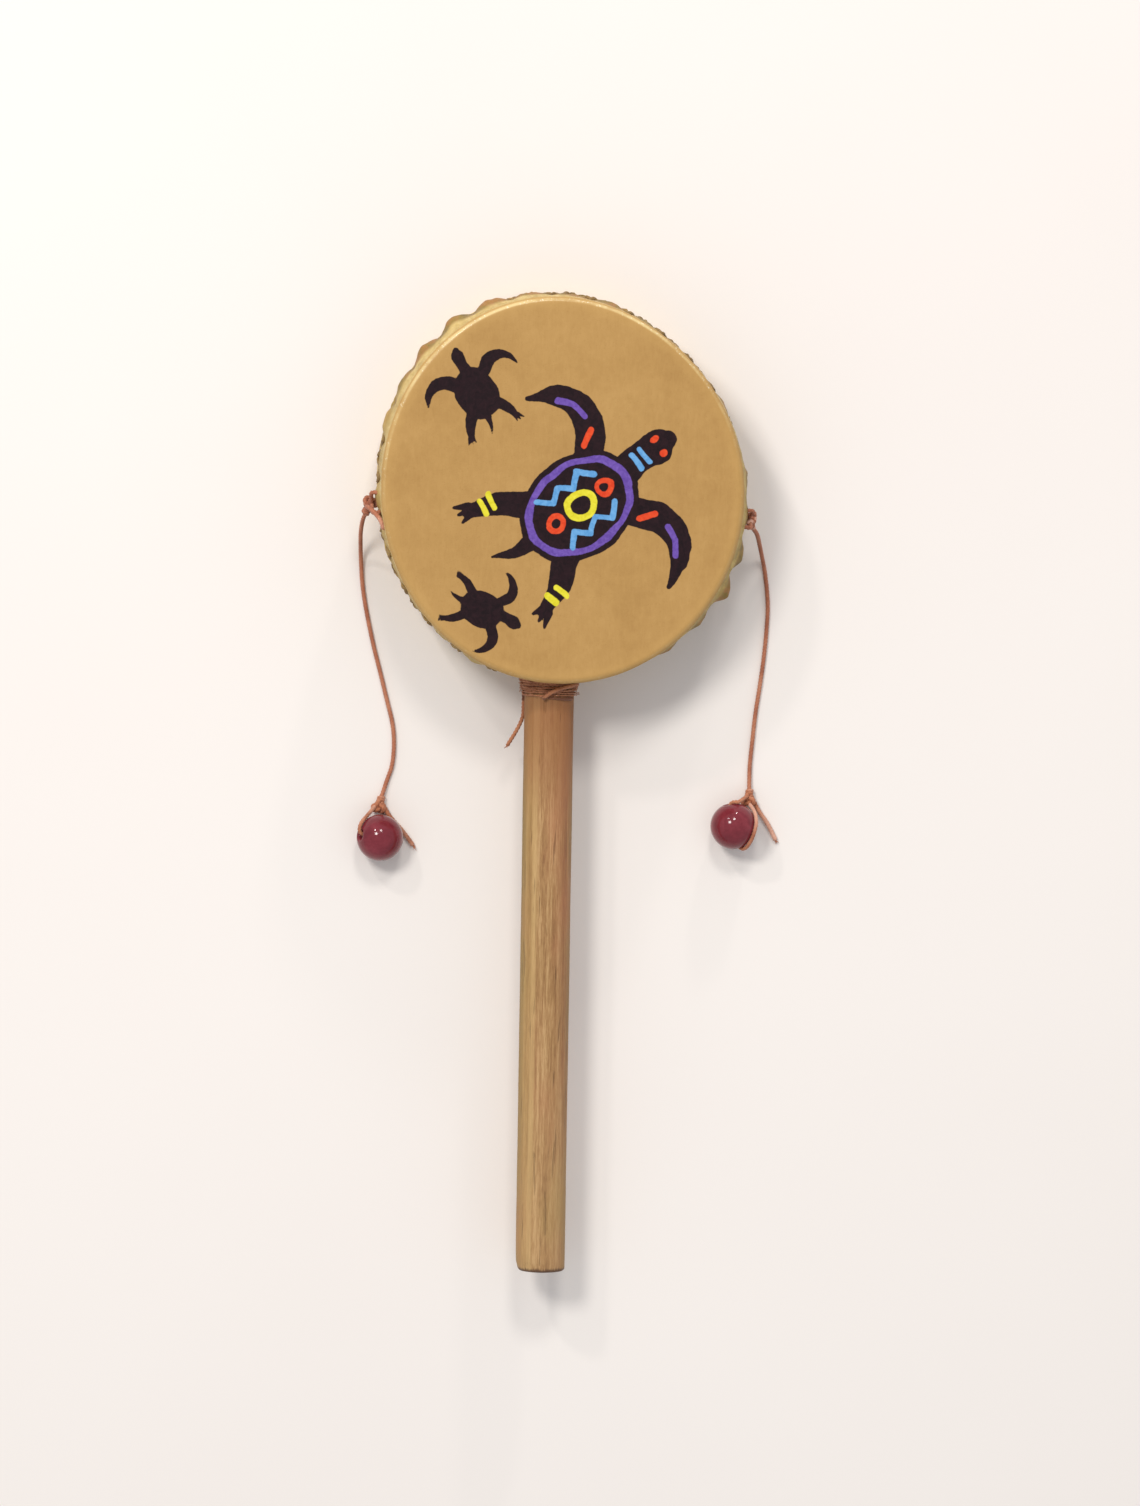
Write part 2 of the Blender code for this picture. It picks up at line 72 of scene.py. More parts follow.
# Where the front skirt flares more or less, and where it leans out: angle, spread in degrees, and how far.
BIG_RUFFLES = ((128, 25, 1.0), (-30, 17, 1.9), (75, 22, -0.2))
LEANING_SKIRTS = ((130, 32, 0.9), (-20, 38, 1.35))

HANDLE_RADIUS, HANDLE_OFFSET, HANDLE_FOOT = 6.35, -2.0, -202.8
FOOT_ROUNDING, HANDLE_BORE_PLAY = 0.8, 0.15
BINDING_TOP, BINDING_LENGTH, BINDING_TURNS, BINDING_HAIRS = -49.0, 6.2, 7, 70
COIL_RADIUS, COIL_FLARE, COIL_START = 6.56, 0.9, radians(-150)
COIL_THREAD, TAIL_THREAD, TUCK_THREAD, HAIR_THREAD = 0.5, 0.55, 0.4, 0.09
COIL_FOOT = BINDING_TOP - BINDING_LENGTH + 1.0

CORD_DIAMETER, CORD_PITCH = 1.2, 2.6
SIDE_KNOT_STANDOFF, SIDE_KNOT_RISE = {"left": 2.4, "right": 2.9}, 1.2
# A knot's thread radius, size and depth, and its neck's two gaps, radius and thread radius.
SIDE_KNOT_FORM, SIDE_KNOT_NECK = (0.66, 0.56, 0.62), (1.5, 0.5, 0.72, 0.5)
BEAD_KNOT_FORM, BEAD_KNOT_NECK = (0.64, 0.52, 0.55), (1.2, 0.7, 0.7, 0.46)
SIDE_KNOT_ANGLES = {"left": radians(186), "right": radians(-9)}
# The turn along the rim of each side knot's two ties, the one over the front skirt first.
TIE_SPREADS = {"left": (-0.06, 0.045), "right": (0.042, -0.045)}

BEAD_RADIUS, MOUTH_RADIUS = 6.0, 1.55
BEAD_PLACES = {"left": (-44.6, -92.0), "right": (46.8, -88.0)}
BEAD_KNOT_ANGLES = {"left": radians(92), "right": radians(58)}
BEAD_KNOT_HEIGHT, BEAD_KNOT_TO_BEAD = 2.1, 8.6
BORE_ANGLES = {"left": radians(-10), "right": radians(104)}
BORE_TILTS = {"left": radians(-23), "right": 0.0}
# How each loop's strands bend round the bead: angle and slope in degrees, and strength.
LOOP_BENDS = {"left": ((48, -30, 0.8), (134, 22, 1.0)), "right": ((84, 38, 0.9), (354, 52, 1.5))}
LOOP_RADIUS, TIE_RADIUS, THONG_RADIUS, FIBRE_RADIUS = 0.56, 0.6, 0.62, 0.13

# How much paler the cut ends are than the rest of their thread.
SIDE_PALENESS = {"left": 0.3, "right": 0.95}
LOOP_PALENESS = {"left": 0.4, "right": 0.8}

# Routes given one by one. Tails are measured from their knot's centre.
CORD_ROUTES = {
    "left": (
        (-49.8, -7.4, 15.1), (-50.55, -9.9, 12.8), (-50.8, -13.2, 8.6), (-50.6, -17.3, 4.0),
        (-50.3, -21.4, 1.3), (-49.8, -27.2, 0.7), (-48.7, -33.9, 0.7), (-46.8, -42.5, 0.7),
        (-44.9, -49.7, 0.7), (-43.0, -57.1, 0.7), (-41.6, -62.7, 0.7), (-41.1, -67.9, 0.7),
        (-41.5, -73.5, 0.7), (-42.9, -77.9, 0.8), (-44.3, -82.3, 1.4),
    ),
    "right": (
        (49.2, -9.8, 15.2), (51.0, -12.0, 11.8), (52.1, -14.8, 7.0), (53.1, -18.2, 3.2),
        (54.1, -22.2, 1.0), (54.8, -27.0, 0.7), (55.1, -31.6, 0.7), (54.9, -37.3, 0.7),
        (54.3, -44.7, 0.7), (53.4, -52.0, 0.7), (52.4, -59.2, 0.7), (51.7, -66.5, 0.7),
        (51.2, -72.2, 0.7), (51.1, -76.8, 0.9), (51.1, -79.5, 1.5),
    ),
}
SIDE_TAILS = {
    "left": ((-0.55, -0.9, 3.2), (0.9, -2.0, 6.6), (2.4, -3.9, 9.0), (3.1, -5.9, 9.8)),
    "right": ((-0.1, -0.7, 2.2), (-0.5, -1.3, 3.0)),
}
BEAD_TAILS = {
    "left": ((3.1, -2.8, -0.8), (5.5, -5.4, -1.2), (7.2, -7.5, -1.3), (9.0, -9.9, -1.3)),
    "right": ((2.7, -2.8, -0.9), (5.1, -6.2, -1.2), (7.3, -10.4, -1.3)),
}
# The binding's own, measured from the handle's middle at the top of the binding.
BINDING_TAIL = (
    (-5.7, -2.4, -2.6), (-6.3, -4.4, -3.2), (-6.4, -7.4, -2.9),
    (-6.6, -10.8, -2.6), (-8.1, -14.3, -2.7), (-10.4, -18.2, -2.8),
)
BINDING_CROSSING = (
    (-1.9, -5.4, 7.2), (-0.3, -3.9, 8.0), (2.0, -2.8, 8.1), (4.6, -2.1, 7.2), (6.7, -1.6, 5.4),
)

# The dark, middle and light sRGB tones of each thread, and the two of each paint.
CORD_TONES = ((122, 62, 38), (174, 104, 72), (214, 154, 118))
SIDE_KNOT_TONES = ((108, 52, 32), (172, 100, 68), (220, 160, 124))
LOOP_TONES = ((112, 54, 32), (176, 104, 66), (224, 164, 128))
BINDING_TONES = ((112, 58, 32), (176, 110, 70), (212, 158, 116))
PAINTS = {
    "dark": ((22, 6, 11), (38, 16, 21)),
    "violet": ((92, 64, 146), (116, 88, 172)),
    "blue": ((84, 144, 196), (112, 168, 214)),
    "yellow": ((206, 194, 34), (226, 216, 62)),
    "orange": ((206, 58, 26), (224, 82, 40)),
}

CAMERA_AIM, CAMERA_PLACE = Vector((3.6, -68.8, 15.0)), Vector((-146.8, 125.8, 2422.0))
CAMERA_LEAN, CAMERA_LENS = radians(0.93), 225.0
# Each lamp's place, size, power and colour.
LAMPS = {
    "key": ((-0.62, 0.62, 1.45), 0.36, 11.6, (1.0, 0.985, 0.96)),
    "second_key": ((0.05, 1.0, 1.25), 0.3, 6.0, (1.0, 0.985, 0.96)),
    "small_lamp": ((-0.75, 1.05, 1.05), 0.12, 3.4, (1.0, 0.96, 0.94)),
    "low_lamp": ((0.34, 1.45, 0.45), 0.12, 3.4, (1.0, 0.96, 0.94)),
}
LAMP_AIM = Vector((0, -0.06, 0))


# Shapes in numbers


def bump(angle, centre, spread):
    """1 at the centre, falling away on both sides; centre and spread are in degrees."""
    away = np.mod(angle - radians(centre) + pi, tau) - pi
    return np.exp(-((away / radians(spread)) ** 2))


def outline_radius(angle):
    """Distance from the drum's axis to the outer face of the hide."""
    wide, tall = HEAD_HALF_HEIGHT * np.cos(angle), HEAD_HALF_WIDTH * np.sin(angle)
    oval = HEAD_HALF_WIDTH * HEAD_HALF_HEIGHT / np.hypot(wide, tall)
    return oval - DENT_DEPTH * bump(angle, DENT_ANGLE, DENT_SPREAD)


def lean_out(angle):
    """How far the front skirt has dried leaning outwards at this angle."""
    return sum(far * bump(angle, centre, spread) for centre, spread, far in LEANING_SKIRTS)


def rim_point(angle, offset, height):
    radius = float(outline_radius(angle)) + offset
    return Vector((radius * cos(angle), radius * sin(angle), height))


def on_circle(angle, radius, *more):
    """Points round the drum's axis at these angles, with any further columns after x and y."""
    return np.column_stack([radius * np.cos(angle), radius * np.sin(angle), *more])


def travel(route):
    """How far along the route each of its points lies."""
    return np.concatenate([[0], np.cumsum(np.linalg.norm(np.diff(route, axis=0), axis=1))])


def smooth_route(points, spacing, steps=16):
    """Evenly spaced points along a smooth curve through the chosen points."""
    chosen = [Vector(p) for p in points]
    padded = [2 * chosen[0] - chosen[1], *chosen, 2 * chosen[-1] - chosen[-2]]
    fine = []
    for a, b, c, d in zip(padded, padded[1:], padded[2:], padded[3:]):
        for step in range(steps):
            t = step / steps
            bend = (2 * a - 5 * b + 4 * c - d) * t * t + (3 * b - 3 * c + d - a) * t**3
            fine.append(b + 0.5 * ((c - a) * t + bend))
    fine = np.array([*fine, chosen[-1]])
    lengths = travel(fine)
    wanted = np.linspace(0, lengths[-1], max(3, round(lengths[-1] / spacing) + 1))
    return np.column_stack([np.interp(wanted, lengths, column) for column in fine.T])


def ripple(points, size, seed, waves=9):
    """A smooth, seeded unevenness from about -1 to 1, whose swells are about this size."""
    draw = random.Random(seed)
    total = np.zeros(len(points))
    for _ in range(waves):
        way = Vector([draw.gauss(0, 1) for _ in range(points.shape[1])])
        way = np.array(way.normalized()) * tau / (size * draw.uniform(0.7, 1.6))
        total += np.sin(points @ way + draw.uniform(0, tau))
    return total / (waves / 2)


def smooth_step(low, high, value):
    t = np.clip((value - low) / (high - low), 0, 1)
    return t * t * (3 - 2 * t)


# Hand tools


def only(obj):
    """Deselects everything, then selects this piece and makes it active."""
    if bpy.context.object and bpy.context.object.mode != "OBJECT":
        bpy.ops.object.mode_set(mode="OBJECT")
    bpy.ops.object.select_all(action="DESELECT")
    obj.select_set(True)
    bpy.context.view_layer.objects.active = obj


def begin(operator, name, **settings):
    """Adds one primitive by itself and names it."""
    bpy.ops.object.select_all(action="DESELECT")
    operator(**settings)
    obj = bpy.context.object
    obj.name = obj.data.name = name
    return obj


def editing(obj, mode="VERT"):
    only(obj)
    bpy.ops.object.mode_set(mode="EDIT")
    bpy.ops.mesh.select_mode(type=mode)


def done_editing():
    bpy.ops.object.mode_set(mode="OBJECT")


def choose(obj, mode, test):
    """Selects only the vertices, edges or faces that pass the test, and leaves the piece in edit mode."""
    editing(obj, mode)
    bpy.ops.mesh.select_all(action="DESELECT")
    done_editing()
    parts = {"VERT": obj.data.vertices, "EDGE": obj.data.edges, "FACE": obj.data.polygons}[mode]
    for part in parts:
        part.select = test(part)
    editing(obj, mode)


def cut_lengthwise(obj, length, cuts):
    """Rings a cylinder of this length, which stands along Z, and leaves it in edit mode."""

    def runs_along(edge):
        foot, head = (obj.data.vertices[i].co.z for i in edge.vertices)
        return abs(foot - head) > length / 2

    choose(obj, "EDGE", runs_along)
    bpy.ops.mesh.subdivide(number_cuts=cuts)


def face_outwards():
    """Turns every face of the piece being edited outwards, and leaves edit mode."""
    bpy.ops.mesh.select_all(action="SELECT")
    bpy.ops.mesh.normals_make_consistent(inside=False)
    done_editing()


def weld(obj, within=2e-6):
    """Merges the doubles of seams and poles, within so many metres, and turns every face outwards."""
    editing(obj)
    bpy.ops.mesh.select_all(action="SELECT")
    bpy.ops.mesh.remove_doubles(threshold=within)
    face_outwards()


def places(obj):
    found = np.empty(len(obj.data.vertices) * 3, np.float32)
    obj.data.vertices.foreach_get("co", found)
    return found.reshape(-1, 3).astype(float)


def move_to(obj, points):
    """Moves every vertex to its place in millimetres."""
    obj.data.vertices.foreach_set("co", np.ascontiguousarray(points * MM, np.float32).ravel())
    obj.data.update()


def attribute(obj, name, values):
    made = obj.data.attributes.new(name, "FLOAT", "POINT")
    made.data.foreach_set("value", np.ascontiguousarray(values, np.float32))


def applied(obj, kind, **settings):
    """Adds one modifier with these settings and applies it."""
    only(obj)
    modifier = obj.modifiers.new(kind.lower(), kind)
    for key, value in settings.items():
        setattr(modifier, key, value)
    bpy.ops.object.modifier_apply(modifier=modifier.name)


def finished(obj, material, node, sharp=None):
    """Settles the piece's place in its mesh, gives it its finish and lets it stand for its node."""
    only(obj)
    bpy.ops.object.transform_apply(location=True, rotation=True, scale=True)
    bpy.ops.object.shade_smooth()
    if sharp:
        bpy.ops.object.shade_smooth_by_angle(angle=radians(sharp))
    obj.data.materials.clear()
    obj.data.materials.append(material)
    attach(obj, "root")
    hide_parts(node)
    return obj


def sheet(name, columns, rows):
    """A flat sheet of quads with its own UV map and a line of vertices for each row.

    Gives the piece, each vertex's share across the sheet, and the values of its row.
    """
    last = len(rows) - 1
    grid = {"x_subdivisions": columns, "y_subdivisions": last, "size": 1}
    obj = begin(bpy.ops.mesh.primitive_grid_add, name, **grid)
    flat = places(obj)[:, :2]
    across, along = ((flat - flat.min(axis=0)) / np.ptp(flat, axis=0)).T
    row = np.rint(along * last).astype(int)
    return obj, across, [np.array(values)[row] for values in zip(*rows)]


def strand(name, route, radius, plies=3, pitch=CORD_PITCH, sides=18, spacing=0.3, fill=0.7, taper=None):
    """A twisted strand along a route, rolled from a flat sheet and closed at both ends in a rounded tip."""
    route = smooth_route(route, spacing)
    along = np.gradient(route, axis=0)
    along /= np.linalg.norm(along, axis=1)[:, None]
    across = np.zeros_like(route)
    across[0] = Vector(along[0]).orthogonal().normalized()
    for i in range(1, len(route)):
        carried = across[i - 1] - along[i] * (across[i - 1] @ along[i])
        across[i] = carried / np.linalg.norm(carried)
    up = np.cross(along, across)
    # Each row's point of the route, its push past that point in radii, and its width.
    last = len(route) - 1
    rows = [(0, -0.35, 0.0), (0, -0.28, 0.6)]
    rows += [(i, 0.0, 1.0) for i in range(last + 1)]
    rows += [(last, 0.28, 0.6), (last, 0.35, 0.0)]
    obj, share, (at, push, width) = sheet(name, sides, rows)
    turn = share * tau
    travelled = travel(route)
    size = np.full(len(turn), radius)
    if taper is not None:
        size = size * np.interp(travelled[at] / travelled[-1], *taper)
    if plies:
        sector = tau / plies
        local = np.mod(turn - tau * travelled[at] / pitch, sector) - sector / 2
        half = sin(sector / 2)
        out = 1 / (1 + half)
        groove = np.sqrt(np.maximum((out * half) ** 2 - (out * np.sin(local)) ** 2, 0))
        size = size * np.maximum(out * np.cos(local) + groove, fill)
    centre = route[at] + along[at] * (push * radius)[:, None]
    round_it = np.cos(turn)[:, None] * across[at] + np.sin(turn)[:, None] * up[at]
    move_to(obj, centre + (size * width)[:, None] * round_it)
    weld(obj)
    return obj


def joined(name, pieces):
    """Several meshes made one piece."""
    only(pieces[0])
    for piece in pieces[1:]:
        piece.select_set(True)
    bpy.ops.object.join()
    pieces[0].name = pieces[0].data.name = name
    return pieces[0]


# Material tools


class Wire:
    """One output socket of a material; arithmetic on it adds Math nodes."""

    def __init__(self, finish, socket):
        self.finish, self.socket = finish, socket

    def maths(self, operation, *values):
        return self.finish.node("ShaderNodeMath", {"operation": operation}, dict(enumerate(values)))

    def __add__(self, other):
        return self.maths("ADD", self, other)

    def __sub__(self, other):
        return self.maths("SUBTRACT", self, other)

    def __rsub__(self, other):
        return self.maths("SUBTRACT", other, self)

    def __mul__(self, other):
        return self.maths("MULTIPLY", self, other)

    def __truediv__(self, other):
        return self.maths("DIVIDE", self, other)

    def __rtruediv__(self, other):
        return self.maths("DIVIDE", other, self)

    __radd__, __rmul__ = __add__, __mul__

    def most(self, other):
        return self.maths("MAXIMUM", self, other)

    def size(self):
        return self.maths("ABSOLUTE", self)

    def between(self, low, high, start=0.0, end=1.0):
        """start below low, end above high, and a soft passage between them."""
        return self.finish.node(
            "ShaderNodeMapRange",
            {"interpolation_type": "SMOOTHSTEP"},
            {"Value": self, "From Min": low, "From Max": high, "To Min": start, "To Max": end},
        )


class Finish:
    """One material of the drum."""

    def __init__(self, name, roughness=0.5, **uniform):
        self.material = bpy.data.materials.new(name)
        self.material.use_nodes = True
        self.tree = self.material.node_tree
        self.shader = self.tree.nodes["Principled BSDF"]
        self.shader.inputs["Roughness"].default_value = roughness
        for socket, value in uniform.items():
            self.shader.inputs[socket.replace("_", " ")].default_value = value

    def node(self, kind, settings=(), inputs=(), output=0):
        made = self.tree.nodes.new(kind)
        for key, value in dict(settings).items():
            setattr(made, key, value)
        for key, value in dict(inputs).items():
            if isinstance(value, Wire):
                self.tree.links.new(value.socket, made.inputs[key])
            else:
                made.inputs[key].default_value = value
        return Wire(self, made.outputs[output])

    def place(self, scale=(1, 1, 1), turn=(0, 0, 0)):
        """Object coordinates, stretched and turned."""
        spot = self.node("ShaderNodeTexCoord", output="Object")
        return self.node("ShaderNodeMapping", {}, {"Vector": spot, "Scale": scale, "Rotation": turn})

    def wrap(self, scale=(1, 1, 1)):
        """The piece's own UV map, stretched."""
        spot = self.node("ShaderNodeUVMap", {"uv_map": "UVMap"})
        return self.node("ShaderNodeMapping", {}, {"Vector": spot, "Scale": scale})

    def part(self, vector, axis):
        return self.node("ShaderNodeSeparateXYZ", {}, {0: vector}, axis)

    def value(self, name):
        return self.node("ShaderNodeAttribute", {"attribute_name": name}, output="Fac")

    def noise(self, vector, scale, detail=3.0, roughness=0.5, distortion=0.0):
        sockets = {"Scale": scale, "Detail": detail, "Roughness": roughness, "Distortion": distortion}
        return self.node("ShaderNodeTexNoise", {}, {"Vector": vector, **sockets})

    def cells(self, vector, scale):
        return self.node("ShaderNodeTexVoronoi", {"feature": "F1"}, {"Vector": vector, "Scale": scale})

    def ramp(self, value, *stops):
        """Colours along a value, given as pairs of place and sRGB colour."""
        made = self.tree.nodes.new("ShaderNodeValToRGB")
        marks = made.color_ramp.elements
        while len(marks) < len(stops):
            marks.new(0.5)
        for mark, (place, tone) in zip(marks, stops):
            mark.position, mark.color = place, linear(tone)
        self.tree.links.new(value.socket, made.inputs[0])
        return Wire(self, made.outputs[0])

    def mix(self, share, first, second):
        return self.node("ShaderNodeMix", {"data_type": "RGBA"}, {0: share, 6: first, 7: second}, 2)

    def over(self, tone, share, *colour):
        """The tone with this share of an sRGB colour laid over it."""
        return self.mix(share, tone, linear(colour))

    def relief(self, height, distance, strength):
        """A bump from a height of 0 to 1 that stands for this many millimetres."""
        sockets = {"Height": height, "Distance": distance * MM, "Strength": strength}
        return self.node("ShaderNodeBump", {}, sockets)

    def give(self, tone, rough=None, normal=None, gloss=None):
        """Links what varies over the surface, and gives the material."""
        varying = {"Base Color": tone, "Roughness": rough, "Normal": normal, "Coat Weight": gloss}
        for socket, wire in varying.items():
            if wire is not None:
                self.tree.links.new(wire.socket, self.shader.inputs[socket])
        return self.material


def linear(colour):
    """An sRGB colour of 0 to 255 as the linear one that a node takes."""
    parts = [c / 255 for c in colour]
    return (*(p / 12.92 if p <= 0.04045 else ((p + 0.055) / 1.055) ** 2.4 for p in parts), 1.0)


# Camera, light and floor


def camera():
    target, place = CAMERA_AIM * MM, CAMERA_PLACE * MM
    back = (place - target).normalized()
    up = Vector((-sin(CAMERA_LEAN), cos(CAMERA_LEAN), 0))
    up = (up - back * up.dot(back)).normalized()
    bpy.ops.object.camera_add()
    made = bpy.context.object
    made.name = "camera"
    turned = Matrix((up.cross(back), up, back)).transposed().to_4x4()
    made.matrix_world = Matrix.Translation(place) @ turned
    made.data.lens = CAMERA_LENS
    made.data.clip_start, made.data.clip_end = 0.05, 20.0
    bpy.context.scene.camera = made


def studio():
    """Soft lamps, a pale surround and a pale paper floor."""
    for name, (place, size, power, tone) in LAMPS.items():
        bpy.ops.object.light_add(type="AREA", location=place)
        made = bpy.context.object
        made.name = name
        made.data.shape, made.data.size, made.data.energy, made.data.color = "DISK", size, power, tone
        made.rotation_euler = (Vector(place) - LAMP_AIM).to_track_quat("Z", "Y").to_euler()
    world = bpy.data.worlds.new("studio")
    world.use_nodes = True
    surround = world.node_tree.nodes["Background"].inputs
    surround["Color"].default_value = (0.93, 0.95, 1.0, 1.0)
    surround["Strength"].default_value = 0.615
    bpy.context.scene.world = world
    bpy.context.scene.view_settings.view_transform = "Standard"
    floor = begin(bpy.ops.mesh.primitive_plane_add, "floor", size=9, location=(0, 0, 0))
    paper = Finish("floor_paper", 0.75)
    cloud = paper.noise(paper.place(), 2.5, 4.0)
    tone = paper.ramp(cloud, (0.3, (232, 224, 217)), (0.7, (237, 230, 223)))
    floor.data.materials.append(paper.give(tone))


# Threads


def thread_finish(name, tones, length, roughness=0.72, pale_end=None, shaded_foot=None):
    """Twisted thread: fibres lean along the plies, with worn pale hairs and darker grooves.

    pale_end is where along the thread it pales, by what share and how patchily. shaded_foot is where, in Y,
    painted shade starts to darken the thread, where it starts to lighten again and where that ends.
    """
    f = Finish(name, roughness, Sheen_Weight=0.12, Sheen_Roughness=0.6)
    fibre = f.noise(f.wrap((6.0, length * 2.2, 1.0)), 3.0, 4.0, 0.65, 0.6)
    patch = f.noise(f.place(), 260.0, 2.0)
    fine = f.noise(f.place(), 2600.0, 3.0, 0.6)
    tone = f.ramp(fibre * 0.5 + patch * 0.3 + fine * 0.2, *zip((0.32, 0.5, 0.7), tones))
    if pale_end is not None:
        start, finish, share, gaps = pale_end
        worn = (fibre * 0.5 + patch * 0.5).between(gaps, gaps + 0.12)
        tone = f.over(tone, f.part(f.wrap(), 1).between(start, finish, 0.0, share) * worn, 222, 172, 148)
    if shaded_foot is not None:
        low, middle, high = shaded_foot
        down = f.part(f.place(), 1) / MM + patch * 0.4
        # Painted shade: the thread darkens at the foot of the coil, where it meets the handle.
        dark = down.between(low - 0.3, low) * down.between(middle, high, 0.75, 0.0)
        tone = f.over(tone, dark, 88, 46, 20)
    rough = fine.between(0.2, 0.8, roughness - 0.1, roughness + 0.15)
    return f.give(tone, rough, f.relief(fibre * 0.6 + fine * 0.4, 0.12, 0.9))


def cord(side):
    """The cord, and its path and length."""
    route = CORD_ROUTES[side]
    length = float(travel(smooth_route(route, 0.3))[-1])
    piece = strand(f"pellet_cord_{side}", route, CORD_DIAMETER / 2, spacing=0.26)
    finish = thread_finish(f"cord_thread_{side}", CORD_TONES, length)
    finished(piece, finish, f"cord_{side}")
    return piece, smooth_route(route, 1.5), length


def bead_centre(side):
    return Vector((*BEAD_PLACES[side], BEAD_RADIUS))


def direction(angle, slope=0.0):
    return Vector((cos(angle), sin(angle), 0)) * cos(slope) + UP * sin(slope)


def bead_knot_centre(side):
    drop = BEAD_RADIUS - BEAD_KNOT_HEIGHT
    reach = sqrt(BEAD_KNOT_TO_BEAD**2 - drop**2)
    return bead_centre(side) + reach * direction(BEAD_KNOT_ANGLES[side]) - UP * drop


def overhand(centre, size, depth, leave, face):
    """Points of an overhand knot: a trefoil that opens towards leave and lies flat to face."""
    start, sweep, steps = 192, 336, 28
    y_axis = -Vector(leave).normalized()
    z_axis = (face - y_axis * face.dot(y_axis)).normalized()
    x_axis = y_axis.cross(z_axis)
    points = []
    for step in range(steps + 1):
        t = radians(start + sweep * step / steps)
        x = sin(t) + 2 * sin(2 * t)
        y = cos(t) - 2 * cos(2 * t)
        points.append(centre + (x_axis * x + y_axis * y) * size + z_axis * (-sin(3 * t)) * depth)
    return points


def strand_round_bead(out, goal, bend, free, steps=40):
    """Places just off the bead from its mouth towards the knot, drawn aside by the bend."""
    angle, slope, strength = bend
    aside = direction(radians(angle), radians(slope)) * strength
    shares = [step / steps for step in range(steps + 1)]
    ways = [((1 - t) ** 2 * out + 2 * t * (1 - t) * aside + t * t * goal).normalized() for t in shares]
    clear = [way for way in ways if way.angle(out) > radians(22)]
    held = [way for way in clear if way.angle(goal) > free] or clear[:1]
    return [(BEAD_RADIUS + LOOP_RADIUS) * way for way in (*held[:-3:5], held[-1])]


def loop_route(side):
    """The strand from the knot through the bead's bore and round its outside back to the knot."""
    centre = bead_centre(side)
    along = direction(BORE_ANGLES[side], BORE_TILTS[side])
    to_knot = bead_knot_centre(side) - centre
    # Nearer the knot than this angle the strand is free of the bead and runs straight.
    free = acos((BEAD_RADIUS + LOOP_RADIUS) / to_knot.length)
    ends = []
    for out, bend in zip((along, -along), LOOP_BENDS[side]):
        arc = strand_round_bead(out, to_knot.normalized(), bend, free)
        aside = (arc[0] - out * arc[0].dot(out)).normalized()
        ends.append([5.35 * out + 0.35 * aside, 6.1 * out + 1.25 * aside, *arc])
    bore = [BEAD_RADIUS * 0.55 * along, BEAD_RADIUS * -0.55 * along]
    local = [to_knot + along, *reversed(ends[0]), *bore, *ends[1], to_knot - along]
    return [centre + place for place in local]


def scatter(draw, reach):
    return Vector([draw.uniform(-reach, reach) for _ in range(3)])


def frayed_end(name, tail, count, seed, length):
    """Loose fibres at a strand's cut end, none of them through the floor."""
    draw = random.Random(seed)
    tip = tail[-1]
    way = (tip - tail[-2]).normalized()
    fibre = {"radius": FIBRE_RADIUS, "plies": 0, "sides": 6, "taper": ((0, 1), (1, 0.35))}
    hairs = []
    for i in range(count):
        end = tip + (way + scatter(draw, 0.5)) * length * draw.uniform(0.5, 1.0)
        end.z = max(end.z, 0.12)
        middle = (tip + end) / 2 + scatter(draw, 0.12)
        start = tip - way * 0.5 + scatter(draw, 0.22)
        hairs.append(strand(f"{name}_{i}", (start, middle, end), **fibre))
    return hairs


def neck_turns(name, start, end, radius, thread, turns=2.5, steps=35):
    """A few turns of the strand's own end round its neck, from start to end."""
    along = (end - start).normalized()
    across = along.orthogonal().normalized()
    up = along.cross(across)
    route = []
    for step in range(steps + 1):
        turn = tau * turns * step / steps
        near = radius * (0.6 if step in (0, steps) else 1.0)
        route.append(start + (end - start) * step / steps + near * (cos(turn) * across + sin(turn) * up))
    return strand(name, route, thread, pitch=2.4, sides=12)


def knot_and_neck(name, centre, start, tail, form, neck, face, turned_over=False):
    """An overhand knot in the cord's end with its tail, and the turns at its neck."""
    leave = (start - centre).normalized()
    thread, size, depth = form
    knot = overhand(centre, size, depth, Vector((leave.x, leave.y, 0)), face)
    if turned_over:
        knot.reverse()
    near, far, *sizes = neck
    return [
        strand(f"{name}_body", [start, *knot[2:-1], *tail], thread),
        neck_turns(f"{name}_neck", centre + leave * near, start + leave * far, *sizes),
    ]


def side_knot(side):
    """A knot lashed to the lacing by two strands that dip in between the hides' edges."""
    angle = SIDE_KNOT_ANGLES[side]
    outwards = direction(angle)
    centre = rim_point(angle, SIDE_KNOT_STANDOFF[side], MID_DEPTH + SIDE_KNOT_RISE)
    start = Vector(CORD_ROUTES[side][0])
    tail = [centre + Vector(p) for p in SIDE_TAILS[side]]
    face = outwards * 0.35 + UP
    form, neck = SIDE_KNOT_FORM, SIDE_KNOT_NECK
    pieces = knot_and_neck("side", centre, start, tail, form, neck, face, turned_over=side == "right")
    lean = lean_out(angle) * 0.8
    for spread in TIE_SPREADS[side]:
        under = rim_point(angle + spread, 0.2 + lean, MID_DEPTH + 6.4)
        over = rim_point(angle + spread * 0.95, 2.1 + lean, MID_DEPTH + 5.4)
        across = centre - outwards * 0.3 + UP
        pieces.append(strand("side_tie", (under, over, across, centre + outwards * 1.5), TIE_RADIUS))
    pieces += frayed_end("side_fray", tail, 9, 11 + len(side), 0.5)
    pale_end = (0.86, 0.9, SIDE_PALENESS[side], 0.1)
    finish = thread_finish(f"knot_thread_{side}", SIDE_KNOT_TONES, 30.0, pale_end=pale_end)
    finished(joined(f"side_tie_knot_{side}", pieces), finish, f"side_knot_{side}")


